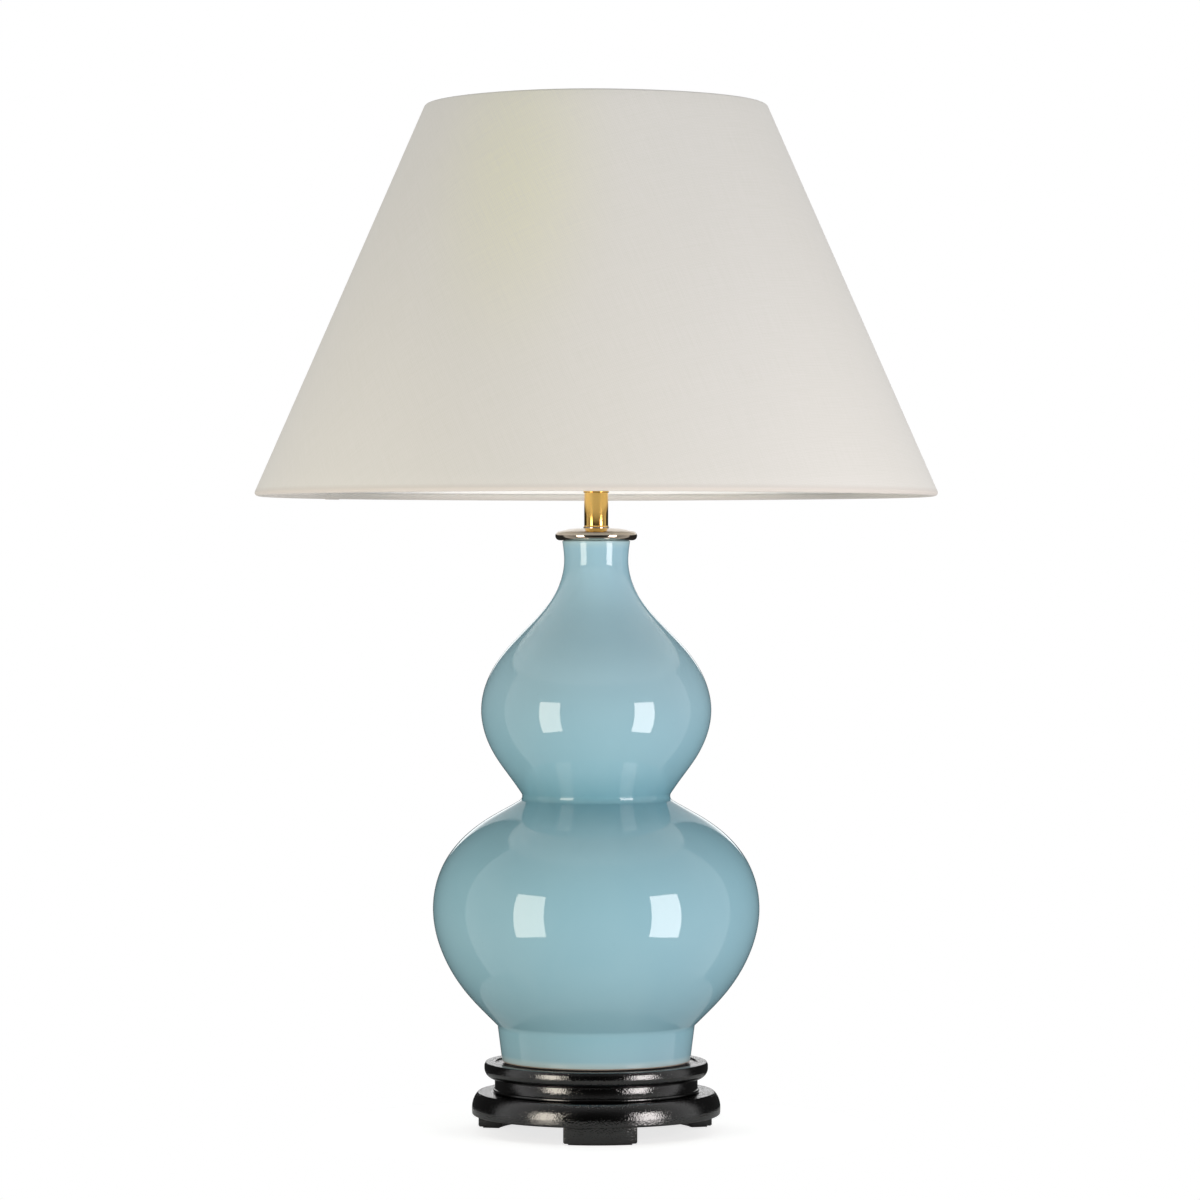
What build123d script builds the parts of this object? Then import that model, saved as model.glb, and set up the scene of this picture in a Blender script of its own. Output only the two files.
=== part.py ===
"""A double gourd table lamp: glazed vase, lacquered wooden stand, brass stem, tapered shade.

Millimetres, +Z up. The origin is on the lamp's axis, at the surface the lamp stands on.
The back is +Y, and one foot of the stand points to the front.
"""

import os
from math import acos, atan2, cos, hypot, radians, sin

from build123d import *

os.makedirs("parts", exist_ok=True)

# ---------------------------------------------------------------- clearances
slip_gap = 0.1        # round a fixed piece pushed or screwed into another
turn_gap = 0.3        # round a piece that turns or slides in another
rod_hole_gap = 0.5    # round the tie rod where it passes through wood, clay or brass

# ---------------------------------------------------------------- stand
pad_thickness = 1.0
pad_margin = 3.0
foot_count = 3
foot_width = 53.8
foot_depth = 16.5
foot_height = 11.8
foot_corner = 2.0
apron_radius = 86.5
plate_nose_width = 4.2
plate_shoulder_inset = 4.5
plate_height = 16.2
plate_nose_height = 4.8
waist_radius = 74.0
waist_height = 10.0
waist_bead = 0.7
waist_bead_height = 2.2
ring_radius = 81.6
ring_height = 12.0
ring_round_width = 7.4
ring_round_height = 5.6
ring_edge = 1.0
dish_radius = 73.5
dish_depth = 1.0
well_radius = 15.0
well_depth = 10.0

# ---------------------------------------------------------------- vase
seat_pad_thickness = 1.5
seat_pad_inset = 2.5
vase_height = 379.5
vase_foot_radius = 68.6
vase_foot_edge = 0.8
vase_crease_radius = 71.9
vase_crease_height = 26.0
vase_belly_radius = 119.1
vase_waist_radius = 54.5
vase_waist_height = 194.0
vase_bulb_radius = 84.0
vase_neck_radius = 23.4
vase_neck_drop = 14.2
vase_lip_radius = 24.8
vase_lip_round = 1.2
vase_wall = 5.0
vase_floor = 7.0
vase_recess_depth = 4.0
vase_recess_margin = 8.0

# ---------------------------------------------------------------- cap and stem
gasket_thickness = 0.6
cap_bead_radius = 3.3
cap_radius = 29.9
cap_seat_rise = 0.5
cap_sheet = 1.6
cap_dome_height = 5.6
cap_boss_height = 0.8
cap_boss_lip = 0.6
cap_spigot_depth = 5.0
cap_spigot_wall = 1.6
cap_spigot_gap = 1.2
stem_radius = 8.76
stem_wall = 1.0
stem_height = 25.2
stem_collar_radius = 9.4
stem_collar_thickness = 1.2

# ---------------------------------------------------------------- rod and its fasteners
rod_radius = 5.0
rod_bore_radius = 3.8
rod_bottom_thread = 1.5
rod_top_thread = 8.0
bottom_nut_width = 17.0
bottom_nut_height = 5.0
bottom_washer_radius = 12.5
cap_nut_width = 13.0
cap_nut_height = 4.0
cap_washer_radius = 7.2
washer_thickness = 1.2
bush_bore_radius = 3.2
bush_flange_radius = 6.5
bush_flange_thickness = 1.5
bush_length = 12.0

# ---------------------------------------------------------------- bulb
bulb_length = 108.0
bulb_radius = 30.0
bulb_neck_radius = 13.0
bulb_shoulder_angle = 35.0
bulb_glass_wall = 0.9
bulb_cap_radius = 13.1
bulb_cap_wall = 0.5
bulb_cap_height = 24.0
bulb_cap_bottom = 5.5
bulb_cap_shoulder = 3.5
bulb_insulator_radius = 8.0
bulb_tip_radius = 4.6
bulb_tip_height = 1.2

# ---------------------------------------------------------------- lampholder
holder_neck_radius = 8.6
holder_neck_height = 5.0
holder_radius = 19.5
holder_wall = 1.0
holder_bowl_height = 11.0
holder_cap_height = 30.0
holder_skirt_height = 26.0
holder_skirt_wall = 1.2
holder_thread_radius = 20.0
holder_spigot_depth = 6.0
holder_shoulder_radius = 24.0
holder_shoulder_thickness = 2.0
holder_rim_thickness = 1.0
block_top_rise = 1.0
wire_pocket_radius = 6.0
wire_pocket_depth = 2.0
shell_wall = 0.6
shell_top_drop = 2.5
contact_rise = 4.0
contact_width = 6.0
contact_sheet = 0.8
contact_reach = 10.5
contact_screw_offset = 7.8
contact_screw_radius = 1.2
contact_screw_length = 5.0
contact_head_radius = 2.2
contact_head_height = 1.4
terminal_screw_count = 3
terminal_screw_circle = 11.5
terminal_head_radius = 2.6
terminal_head_height = 2.0
terminal_shank_radius = 1.5
terminal_shank_length = 4.0
lock_screw_radius = 1.5
switch_bar_radius = 2.4
switch_bar_length = 54.0
switch_bar_travel = 7.0
switch_bar_height = 20.0
switch_bar_round = 2.2

# ---------------------------------------------------------------- shade ring and carrier
shade_ring_radius = 26.0
shade_ring_height = 9.0
shade_ring_grip_radius = 1.0
shade_ring_grip_count = 24
collar_radius = 31.5
collar_thickness = 1.5
carrier_height = 216.0
carrier_wire_count = 4
carrier_wire_radius = 1.6
carrier_wire_rise = 6.0
carrier_splay_height = 34.0
carrier_bend_radius = 12.0
seat_ring_radius = 52.5
seat_ring_bore_radius = 44.0
seat_ring_thickness = 1.2

# ---------------------------------------------------------------- shade
shade_height = 285.0
shade_recess = 33.0
bottom_wire_circle = 246.2
top_wire_circle = 123.4
shade_wire_radius = 1.25
cover_thickness = 0.8
liner_thickness = 0.5
hem_height = 6.5
hem_gap = 0.4
fitter_thickness = 1.2
fitter_lip_depth = 5.0
fitter_lip_gap = 0.6
fitter_bore_radius = 45.0
arm_count = 3
arm_radius = 1.15
arm_flat_run = 12.0
arm_bend_radius = 14.0

# ---------------------------------------------------------------- heights, from the table up
foot_bottom_z = pad_thickness
plate_z = foot_bottom_z + foot_height
waist_z = plate_z + plate_height
ring_z = waist_z + waist_height
ring_top_z = ring_z + ring_height
dish_z = ring_top_z - dish_depth
vase_z = dish_z + seat_pad_thickness
crease_z = vase_z + vase_crease_height
gourd_waist_z = vase_z + vase_waist_height
mouth_z = vase_z + vase_height
cap_seat_z = mouth_z + gasket_thickness
cap_bead_z = cap_seat_z + cap_bead_radius - cap_seat_rise
cap_edge_z = cap_bead_z + cap_bead_radius
cap_top_z = cap_bead_z + cap_dome_height
stem_z = cap_top_z + cap_boss_height
stem_top_z = stem_z + stem_height
holder_z = stem_top_z + stem_collar_thickness
rod_top_z = holder_z + rod_top_thread
bar_z = holder_z + switch_bar_height
bowl_top_z = holder_z + holder_neck_height + holder_bowl_height
skirt_z = holder_z + holder_cap_height
skirt_top_z = skirt_z + holder_skirt_height
shoulder_top_z = skirt_z + holder_shoulder_thickness
block_top_z = skirt_z + block_top_rise
bulb_z = block_top_z + contact_rise
collar_top_z = shoulder_top_z + collar_thickness
seat_z = shoulder_top_z + carrier_height
shade_top_z = seat_z + shade_recess
shade_bottom_z = shade_top_z - shade_height
well_top_z = plate_z + well_depth
nut_top_z = well_top_z - washer_thickness
rod_bottom_z = nut_top_z - bottom_nut_height - rod_bottom_thread

rod_hole_radius = rod_radius + rod_hole_gap
thread_bore_radius = rod_radius + slip_gap
mouth_radius = vase_lip_radius - vase_wall


# ================================================================ stand
with BuildPart() as plinth_base:
    plate_radius = apron_radius + plate_nose_width
    plate_nose_z = plate_z + plate_nose_height
    with BuildSketch(Plane.XZ):
        with BuildLine():
            under = Line((0, plate_z), (apron_radius, plate_z))
            nose = EllipticalCenterArc((apron_radius, plate_nose_z), plate_nose_width,
                                       plate_nose_height, start_angle=270, arc_size=90)
            side = Spline(nose @ 1, (plate_radius - plate_shoulder_inset, waist_z),
                          tangents=[(0, 1), (-1, 1)])
            top = Line(side @ 1, (0, waist_z))
            Line(top @ 1, under @ 0)
        make_face()
    revolve(axis=Axis.Z)
    with BuildSketch(Plane.XY.offset(foot_bottom_z)):
        with PolarLocations(apron_radius - foot_depth, foot_count, start_angle=-90):
            Rectangle(2 * foot_depth, foot_width, align=(Align.MIN, Align.CENTER))
        Circle(apron_radius, mode=Mode.INTERSECT)
    extrude(amount=foot_height)
    foot_bottoms = faces().filter_by(Axis.Z).group_by(Axis.Z)[0]
    fillet(foot_bottoms.edges(), radius=foot_corner)
    with Locations((0, 0, plate_z)):
        Cylinder(well_radius, well_depth, align=(Align.CENTER, Align.CENTER, Align.MIN),
                 mode=Mode.SUBTRACT)
    Cylinder(rod_hole_radius, 2 * waist_z, mode=Mode.SUBTRACT)
plinth_base.part.label = "plinth_base"
export_step(plinth_base.part, "parts/plinth_base.step")

with BuildPart() as plinth_waist:
    bead_top_z = waist_z + waist_bead_height
    with BuildSketch(Plane.XZ):
        with BuildLine():
            bead = ThreePointArc((waist_radius, waist_z),
                                 (waist_radius + waist_bead, waist_z + waist_bead_height / 2),
                                 (waist_radius, bead_top_z))
            Polyline(bead @ 1, (waist_radius, ring_z), (rod_hole_radius, ring_z),
                     (rod_hole_radius, waist_z), bead @ 0)
        make_face()
    revolve(axis=Axis.Z)
plinth_waist.part.label = "plinth_waist"
export_step(plinth_waist.part, "parts/plinth_waist.step")

with BuildPart() as plinth_top_ring:
    round_centre = (ring_radius - ring_round_width, ring_z + ring_round_height)
    with BuildSketch(Plane.XZ):
        with BuildLine():
            round_under = EllipticalCenterArc(round_centre, ring_round_width, ring_round_height,
                                              start_angle=270, arc_size=90)
            Polyline(round_under @ 1, (ring_radius, ring_top_z), (dish_radius, ring_top_z),
                     (dish_radius, dish_z), (rod_hole_radius, dish_z),
                     (rod_hole_radius, ring_z), round_under @ 0)
        make_face()
    revolve(axis=Axis.Z)
    rim_edges = edges().filter_by(GeomType.CIRCLE).group_by(Axis.Z)[-1]
    fillet(rim_edges.sort_by(SortBy.RADIUS)[-1], radius=ring_edge)
plinth_top_ring.part.label = "plinth_top_ring"
export_step(plinth_top_ring.part, "parts/plinth_top_ring.step")

with BuildPart() as foot_pads:
    pad_inner_radius = apron_radius - foot_depth + pad_margin
    with BuildSketch():
        with PolarLocations(pad_inner_radius, foot_count, start_angle=-90):
            Rectangle(2 * foot_depth, foot_width - 2 * pad_margin,
                      align=(Align.MIN, Align.CENTER))
        Circle(apron_radius - pad_margin, mode=Mode.INTERSECT)
    extrude(amount=pad_thickness)
foot_pads.part.label = "foot_pads"
export_step(foot_pads.part, "parts/foot_pads.step")

with BuildPart() as vase_seat_pad:
    with BuildSketch(Plane.XY.offset(dish_z)):
        Circle(vase_foot_radius - seat_pad_inset)
        Circle(rod_hole_radius, mode=Mode.SUBTRACT)
    extrude(amount=seat_pad_thickness)
vase_seat_pad.part.label = "vase_seat_pad"
export_step(vase_seat_pad.part, "parts/vase_seat_pad.step")


# ================================================================ vase
# Points of the gourd's two swellings, as shares of the height of each, and of its swell from
# the narrow line below it (rising part) or above it (falling part).
belly_rise_shares = [(0.143, 0.487), (0.317, 0.858), (0.512, 1.0)]
belly_fall_shares = [(0.716, 0.858), (0.890, 0.406), (0.960, 0.088)]
bulb_rise_shares = [(0.045, 0.156), (0.182, 0.708), (0.365, 1.0)]
bulb_fall_shares = [(0.557, 0.825), (0.727, 0.406), (0.864, 0.099)]


def swelling(low_z, high_z, low_radius, wide_radius, high_radius, rise, fall):
    """The points of one swelling, from its lower narrow line up to its upper one."""
    height = high_z - low_z
    rising = [(low_radius + share * (wide_radius - low_radius), low_z + up * height)
              for up, share in rise]
    falling = [(high_radius + share * (wide_radius - high_radius), low_z + up * height)
               for up, share in fall]
    return [(low_radius, low_z)] + rising + falling + [(high_radius, high_z)]


neck_z = mouth_z - vase_neck_drop
belly_points = swelling(crease_z, gourd_waist_z, vase_crease_radius, vase_belly_radius,
                        vase_waist_radius, belly_rise_shares, belly_fall_shares)
bulb_points = swelling(gourd_waist_z, neck_z, vase_waist_radius, vase_bulb_radius,
                       vase_neck_radius, bulb_rise_shares, bulb_fall_shares)


def inner_face(edge, wall, spans):
    """Points of an outline edge moved square to it, into the clay, by the wall."""
    points = []
    for step in range(spans + 1):
        place = edge @ (step / spans)
        run = edge % (step / spans)
        points.append((place.X - wall * run.Y, place.Y + wall * run.X))
    return points


with BuildPart() as vase:
    floor_z = vase_z + vase_recess_depth + vase_floor
    with BuildSketch(Plane.XZ):
        with BuildLine():
            base = Line((0, vase_z), (vase_foot_radius, vase_z))
            Line(base @ 1, (vase_crease_radius, crease_z))
            belly = Spline(*belly_points, tangents=[(1, 1), (0, 1)])
            bulb = Spline(*bulb_points, tangents=[(0, 1), (0, 1)])
            lip = Spline((vase_neck_radius, neck_z), (vase_lip_radius, mouth_z),
                         tangents=[(0, 1), (0.15, 1)])
            mouth = Line(lip @ 1, (0, mouth_z))
            Line(mouth @ 1, base @ 0)
        make_face()
        with BuildLine():
            floor = Line((0, floor_z), (vase_foot_radius - vase_wall, floor_z))
            belly_in = Spline(*inner_face(belly, vase_wall, 8), tangents=[(1, 1), (0, 1)])
            Line(floor @ 1, belly_in @ 0)
            bulb_in = Spline(*inner_face(bulb, vase_wall, 8), tangents=[(0, 1), (0, 1)])
            throat = Polyline(bulb_in @ 1, (mouth_radius, mouth_z), (0, mouth_z))
            Line(throat @ 1, floor @ 0)
        make_face(mode=Mode.SUBTRACT)
    revolve(axis=Axis.Z)
    with Locations((0, 0, vase_z)):
        Cylinder(vase_foot_radius - vase_recess_margin, vase_recess_depth,
                 align=(Align.CENTER, Align.CENTER, Align.MIN), mode=Mode.SUBTRACT)
        Cylinder(rod_hole_radius, 2 * (floor_z - vase_z), mode=Mode.SUBTRACT)
    round_edges = edges().filter_by(GeomType.CIRCLE)
    fillet(round_edges.group_by(Axis.Z)[-1], radius=vase_lip_round)
    fillet(round_edges.group_by(Axis.Z)[0].sort_by(SortBy.RADIUS)[-1], radius=vase_foot_edge)
vase.part.label = "vase"
export_step(vase.part, "parts/vase.step")


# ================================================================ cap and stem
with BuildPart() as cap_gasket:
    with BuildSketch(Plane.XY.offset(mouth_z)):
        Circle(vase_lip_radius - vase_lip_round)
        Circle(mouth_radius + vase_lip_round, mode=Mode.SUBTRACT)
    extrude(amount=gasket_thickness)
cap_gasket.part.label = "cap_gasket"
export_step(cap_gasket.part, "parts/cap_gasket.step")

with BuildPart() as vase_cap:
    bead_circle = cap_radius - cap_bead_radius
    boss_radius = stem_radius + cap_boss_lip
    spigot_radius = mouth_radius - cap_spigot_gap
    spigot_bore = spigot_radius - cap_spigot_wall
    with BuildSketch(Plane.XZ):
        with BuildLine():
            dome = Spline((boss_radius, cap_top_z), (bead_circle, cap_edge_z),
                          tangents=[(1, 0), (1, -0.3)])
            bead = ThreePointArc(dome @ 1, (cap_radius, cap_bead_z),
                                 (bead_circle, cap_bead_z - cap_bead_radius))
            Polyline(bead @ 1, (bead_circle, cap_seat_z), (spigot_radius, cap_seat_z),
                     (spigot_radius, cap_seat_z - cap_spigot_depth),
                     (spigot_bore, cap_seat_z - cap_spigot_depth),
                     (spigot_bore, cap_edge_z - cap_sheet),
                     (boss_radius, cap_top_z - cap_sheet),
                     (rod_hole_radius, cap_top_z - cap_sheet),
                     (rod_hole_radius, stem_z), (boss_radius, stem_z), dome @ 0)
        make_face()
    revolve(axis=Axis.Z)
vase_cap.part.label = "vase_cap"
export_step(vase_cap.part, "parts/vase_cap.step")

with BuildPart() as cap_washer:
    with BuildSketch(Plane.XY.offset(stem_z)):
        Circle(cap_washer_radius)
        Circle(rod_hole_radius, mode=Mode.SUBTRACT)
    extrude(amount=washer_thickness)
cap_washer.part.label = "cap_washer"
export_step(cap_washer.part, "parts/cap_washer.step")

with BuildPart() as cap_nut:
    with BuildSketch(Plane.XY.offset(stem_z + washer_thickness)):
        RegularPolygon(cap_nut_width / 2, 6, major_radius=False)
        Circle(thread_bore_radius, mode=Mode.SUBTRACT)
    extrude(amount=cap_nut_height)
cap_nut.part.label = "cap_nut"
export_step(cap_nut.part, "parts/cap_nut.step")

with BuildPart() as stem_tube:
    with BuildSketch(Plane.XY.offset(stem_z)):
        Circle(stem_radius)
        Circle(stem_radius - stem_wall, mode=Mode.SUBTRACT)
    extrude(amount=stem_height)
stem_tube.part.label = "stem_tube"
export_step(stem_tube.part, "parts/stem_tube.step")

with BuildPart() as stem_collar:
    with BuildSketch(Plane.XY.offset(stem_top_z)):
        Circle(stem_collar_radius)
        Circle(rod_hole_radius, mode=Mode.SUBTRACT)
    extrude(amount=stem_collar_thickness)
    collar_rims = edges().filter_by(GeomType.CIRCLE).sort_by(SortBy.RADIUS)[-2:]
    fillet(collar_rims, radius=stem_collar_thickness / 4)
stem_collar.part.label = "stem_collar"
export_step(stem_collar.part, "parts/stem_collar.step")


# ================================================================ rod and its fasteners
with BuildPart() as tie_rod:
    with BuildSketch(Plane.XY.offset(rod_bottom_z)):
        Circle(rod_radius)
        Circle(rod_bore_radius, mode=Mode.SUBTRACT)
    extrude(amount=rod_top_z - rod_bottom_z)
tie_rod.part.label = "tie_rod"
export_step(tie_rod.part, "parts/tie_rod.step")

with BuildPart() as bottom_washer:
    with BuildSketch(Plane.XY.offset(nut_top_z)):
        Circle(bottom_washer_radius)
        Circle(rod_hole_radius, mode=Mode.SUBTRACT)
    extrude(amount=washer_thickness)
bottom_washer.part.label = "bottom_washer"
export_step(bottom_washer.part, "parts/bottom_washer.step")

with BuildPart() as bottom_nut:
    with BuildSketch(Plane.XY.offset(nut_top_z - bottom_nut_height)):
        RegularPolygon(bottom_nut_width / 2, 6, major_radius=False)
        Circle(thread_bore_radius, mode=Mode.SUBTRACT)
    extrude(amount=bottom_nut_height)
bottom_nut.part.label = "bottom_nut"
export_step(bottom_nut.part, "parts/bottom_nut.step")

with BuildPart() as rod_end_bush:
    with BuildSketch(Plane.XY.offset(rod_bottom_z - bush_flange_thickness)):
        Circle(rod_bore_radius - slip_gap)
        Circle(bush_bore_radius, mode=Mode.SUBTRACT)
    extrude(amount=bush_length)
    with BuildSketch(Plane.XY.offset(rod_bottom_z - bush_flange_thickness)):
        Circle(bush_flange_radius)
        Circle(bush_bore_radius, mode=Mode.SUBTRACT)
    extrude(amount=bush_flange_thickness)
rod_end_bush.part.label = "rod_end_bush"
export_step(rod_end_bush.part, "parts/rod_end_bush.step")


# ================================================================ lampholder
skirt_spigot = holder_radius - holder_wall - slip_gap
block_neck_radius = skirt_spigot - holder_wall
block_collar_z = skirt_z - holder_spigot_depth
sleeve_top_z = skirt_top_z - holder_rim_thickness
shell_radius = bulb_cap_radius + turn_gap + shell_wall
lock_screw_z = holder_z + holder_neck_height / 2

with BuildPart() as holder_cap:
    bowl_centre = (holder_neck_radius, bowl_top_z)
    bowl_reach = holder_radius - holder_neck_radius
    with BuildSketch(Plane.XZ):
        with BuildLine():
            bowl = EllipticalCenterArc(bowl_centre, bowl_reach, holder_bowl_height,
                                       start_angle=270, arc_size=90)
            inner_bowl = EllipticalCenterArc(bowl_centre, bowl_reach - holder_wall,
                                             holder_bowl_height - holder_wall,
                                             start_angle=270, arc_size=90)
            Polyline(bowl @ 0, (holder_neck_radius, holder_z), (thread_bore_radius, holder_z),
                     (thread_bore_radius, rod_top_z), (holder_neck_radius, rod_top_z),
                     inner_bowl @ 0)
            Polyline(bowl @ 1, (holder_radius, skirt_z), (holder_radius - holder_wall, skirt_z),
                     inner_bowl @ 1)
        make_face()
    revolve(axis=Axis.Z)
    with Locations((0, 0, bar_z)):
        Cylinder(switch_bar_radius + turn_gap, 3 * holder_radius, rotation=(0, 90, 0),
                 mode=Mode.SUBTRACT)
    with Locations((0, 0, lock_screw_z)):
        Cylinder(lock_screw_radius + slip_gap, 2 * holder_neck_radius, rotation=(-90, 0, 0),
                 align=(Align.CENTER, Align.CENTER, Align.MIN), mode=Mode.SUBTRACT)
holder_cap.part.label = "holder_cap"
export_step(holder_cap.part, "parts/holder_cap.step")

with BuildPart() as holder_lock_screw:
    with Locations((0, thread_bore_radius, lock_screw_z)):
        Cylinder(lock_screw_radius, holder_neck_radius - thread_bore_radius,
                 rotation=(-90, 0, 0), align=(Align.CENTER, Align.CENTER, Align.MIN))
holder_lock_screw.part.label = "holder_lock_screw"
export_step(holder_lock_screw.part, "parts/holder_lock_screw.step")

with BuildPart() as holder_skirt:
    sleeve_bore = holder_thread_radius - holder_skirt_wall
    with BuildSketch(Plane.XZ):
        with BuildLine():
            Polyline((block_neck_radius + slip_gap, block_collar_z), (skirt_spigot, block_collar_z),
                     (skirt_spigot, skirt_z), (holder_shoulder_radius, skirt_z),
                     (holder_shoulder_radius, shoulder_top_z),
                     (holder_thread_radius, shoulder_top_z), (holder_thread_radius, skirt_top_z),
                     (shell_radius, skirt_top_z), (shell_radius, sleeve_top_z),
                     (sleeve_bore, sleeve_top_z), (sleeve_bore, block_top_z),
                     (block_neck_radius + slip_gap, block_top_z),
                     (block_neck_radius + slip_gap, block_collar_z))
        make_face()
    revolve(axis=Axis.Z)
holder_skirt.part.label = "holder_skirt"
export_step(holder_skirt.part, "parts/holder_skirt.step")

with BuildPart() as holder_terminal_block:
    with BuildSketch(Plane.XY.offset(bowl_top_z)):
        Circle(skirt_spigot)
    extrude(amount=block_collar_z - bowl_top_z)
    with BuildSketch(Plane.XY.offset(block_collar_z)):
        Circle(block_neck_radius)
    extrude(amount=block_top_z - block_collar_z)
    with Locations((0, 0, bowl_top_z)):
        Cylinder(wire_pocket_radius, 2 * wire_pocket_depth, mode=Mode.SUBTRACT)
    with Locations((0, 0, bar_z)):
        Cylinder(switch_bar_radius + turn_gap, 3 * holder_radius, rotation=(0, 90, 0),
                 mode=Mode.SUBTRACT)
    with Locations((0, 0, bowl_top_z)):
        with PolarLocations(terminal_screw_circle, terminal_screw_count, start_angle=90):
            Cylinder(terminal_shank_radius + slip_gap, 2 * terminal_shank_length,
                     mode=Mode.SUBTRACT)
    with Locations((-contact_screw_offset, 0, block_top_z)):
        Cylinder(contact_screw_radius + slip_gap, 2 * contact_screw_length, mode=Mode.SUBTRACT)
holder_terminal_block.part.label = "holder_terminal_block"
export_step(holder_terminal_block.part, "parts/holder_terminal_block.step")

with BuildPart() as terminal_screws:
    with BuildSketch(Plane.XY.offset(bowl_top_z - terminal_head_height)):
        with PolarLocations(terminal_screw_circle, terminal_screw_count, start_angle=90):
            Circle(terminal_head_radius)
    extrude(amount=terminal_head_height)
    with BuildSketch(Plane.XY.offset(bowl_top_z)):
        with PolarLocations(terminal_screw_circle, terminal_screw_count, start_angle=90):
            Circle(terminal_shank_radius)
    extrude(amount=terminal_shank_length)
terminal_screws.part.label = "terminal_screws"
export_step(terminal_screws.part, "parts/terminal_screws.step")

with BuildPart() as holder_sleeve:
    with BuildSketch(Plane.XY.offset(block_top_z)):
        Circle(sleeve_bore - slip_gap)
        Circle(shell_radius + slip_gap, mode=Mode.SUBTRACT)
    extrude(amount=sleeve_top_z - block_top_z)
holder_sleeve.part.label = "holder_sleeve"
export_step(holder_sleeve.part, "parts/holder_sleeve.step")

with BuildPart() as screw_shell:
    with BuildSketch(Plane.XY.offset(block_top_z)):
        Circle(shell_radius)
        Circle(bulb_cap_radius + turn_gap, mode=Mode.SUBTRACT)
    extrude(amount=skirt_top_z - shell_top_drop - block_top_z)
screw_shell.part.label = "screw_shell"
export_step(screw_shell.part, "parts/screw_shell.step")

with BuildPart() as centre_contact:
    contact_foot_end = contact_head_radius + contact_sheet - contact_screw_offset
    contact_under_z = bulb_z - contact_sheet
    foot_top_z = block_top_z + contact_sheet
    with BuildSketch(Plane.XZ):
        with BuildLine():
            Polyline((-contact_reach, block_top_z), (contact_foot_end, block_top_z),
                     (contact_foot_end + contact_rise / 2, contact_under_z),
                     (bulb_tip_radius, contact_under_z), (bulb_tip_radius, bulb_z),
                     (contact_foot_end + contact_rise / 2 - contact_sheet, bulb_z),
                     (contact_foot_end - contact_sheet / 2, foot_top_z),
                     (-contact_reach, foot_top_z), (-contact_reach, block_top_z))
        make_face()
    extrude(amount=contact_width / 2, both=True)
    with Locations((-contact_screw_offset, 0, block_top_z)):
        Cylinder(contact_screw_radius + slip_gap, 3 * contact_sheet, mode=Mode.SUBTRACT)
centre_contact.part.label = "centre_contact"
export_step(centre_contact.part, "parts/centre_contact.step")

with BuildPart() as contact_screw:
    with Locations((-contact_screw_offset, 0, foot_top_z)):
        Cylinder(contact_head_radius, contact_head_height,
                 align=(Align.CENTER, Align.CENTER, Align.MIN))
        Cylinder(contact_screw_radius, contact_screw_length,
                 align=(Align.CENTER, Align.CENTER, Align.MAX))
contact_screw.part.label = "contact_screw"
export_step(contact_screw.part, "parts/contact_screw.step")

with BuildPart() as switch_bar:
    with Locations((switch_bar_travel / 2, 0, bar_z)):
        Cylinder(switch_bar_radius, switch_bar_length, rotation=(0, 90, 0))
    fillet(edges().filter_by(GeomType.CIRCLE), radius=switch_bar_round)
switch_bar.part.label = "switch_bar"
export_step(switch_bar.part, "parts/switch_bar.step")


# ================================================================ shade ring and carrier
with BuildPart() as shade_ring:
    with BuildSketch(Plane.XY.offset(collar_top_z)):
        Circle(shade_ring_radius)
        Circle(holder_thread_radius + turn_gap, mode=Mode.SUBTRACT)
        with PolarLocations(shade_ring_radius + shade_ring_grip_radius / 2, shade_ring_grip_count):
            Circle(shade_ring_grip_radius, mode=Mode.SUBTRACT)
    extrude(amount=shade_ring_height)
shade_ring.part.label = "shade_ring"
export_step(shade_ring.part, "parts/shade_ring.step")

with BuildPart() as carrier_collar:
    with BuildSketch(Plane.XY.offset(shoulder_top_z)):
        Circle(collar_radius)
        Circle(holder_thread_radius + turn_gap, mode=Mode.SUBTRACT)
    extrude(amount=collar_thickness)
carrier_collar.part.label = "carrier_collar"
export_step(carrier_collar.part, "parts/carrier_collar.step")

with BuildPart() as one_carrier_wire:
    wire_foot_radius = collar_radius - 1.5 * carrier_wire_radius
    wire_head_radius = (seat_ring_radius + seat_ring_bore_radius) / 2
    splay_z = collar_top_z + carrier_wire_rise
    with BuildLine(Plane.XZ) as wire_path:
        FilletPolyline((wire_foot_radius, collar_top_z), (wire_foot_radius, splay_z),
                       (wire_head_radius, splay_z + carrier_splay_height),
                       (wire_head_radius, seat_z - seat_ring_thickness),
                       radius=carrier_bend_radius)
    with BuildSketch(Plane.XY.offset(collar_top_z)):
        with Locations((wire_foot_radius, 0)):
            Circle(carrier_wire_radius)
    sweep(path=wire_path.line)

with BuildPart() as carrier_wires:
    with PolarLocations(0, carrier_wire_count, start_angle=45):
        add(one_carrier_wire.part)
carrier_wires.part.label = "carrier_wires"
export_step(carrier_wires.part, "parts/carrier_wires.step")

with BuildPart() as carrier_seat_ring:
    with BuildSketch(Plane.XY.offset(seat_z - seat_ring_thickness)):
        Circle(seat_ring_radius)
        Circle(seat_ring_bore_radius, mode=Mode.SUBTRACT)
    extrude(amount=seat_ring_thickness)
carrier_seat_ring.part.label = "carrier_seat_ring"
export_step(carrier_seat_ring.part, "parts/carrier_seat_ring.step")


# ================================================================ shade
roll_radius = shade_wire_radius + hem_gap + cover_thickness
top_wire_z = shade_top_z - roll_radius
bottom_wire_z = shade_bottom_z + roll_radius
top_rim = (top_wire_circle, top_wire_z, -1)
bottom_rim = (bottom_wire_circle, bottom_wire_z, 1)
shade_lean = atan2(bottom_wire_circle - top_wire_circle, top_wire_z - bottom_wire_z)


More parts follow.
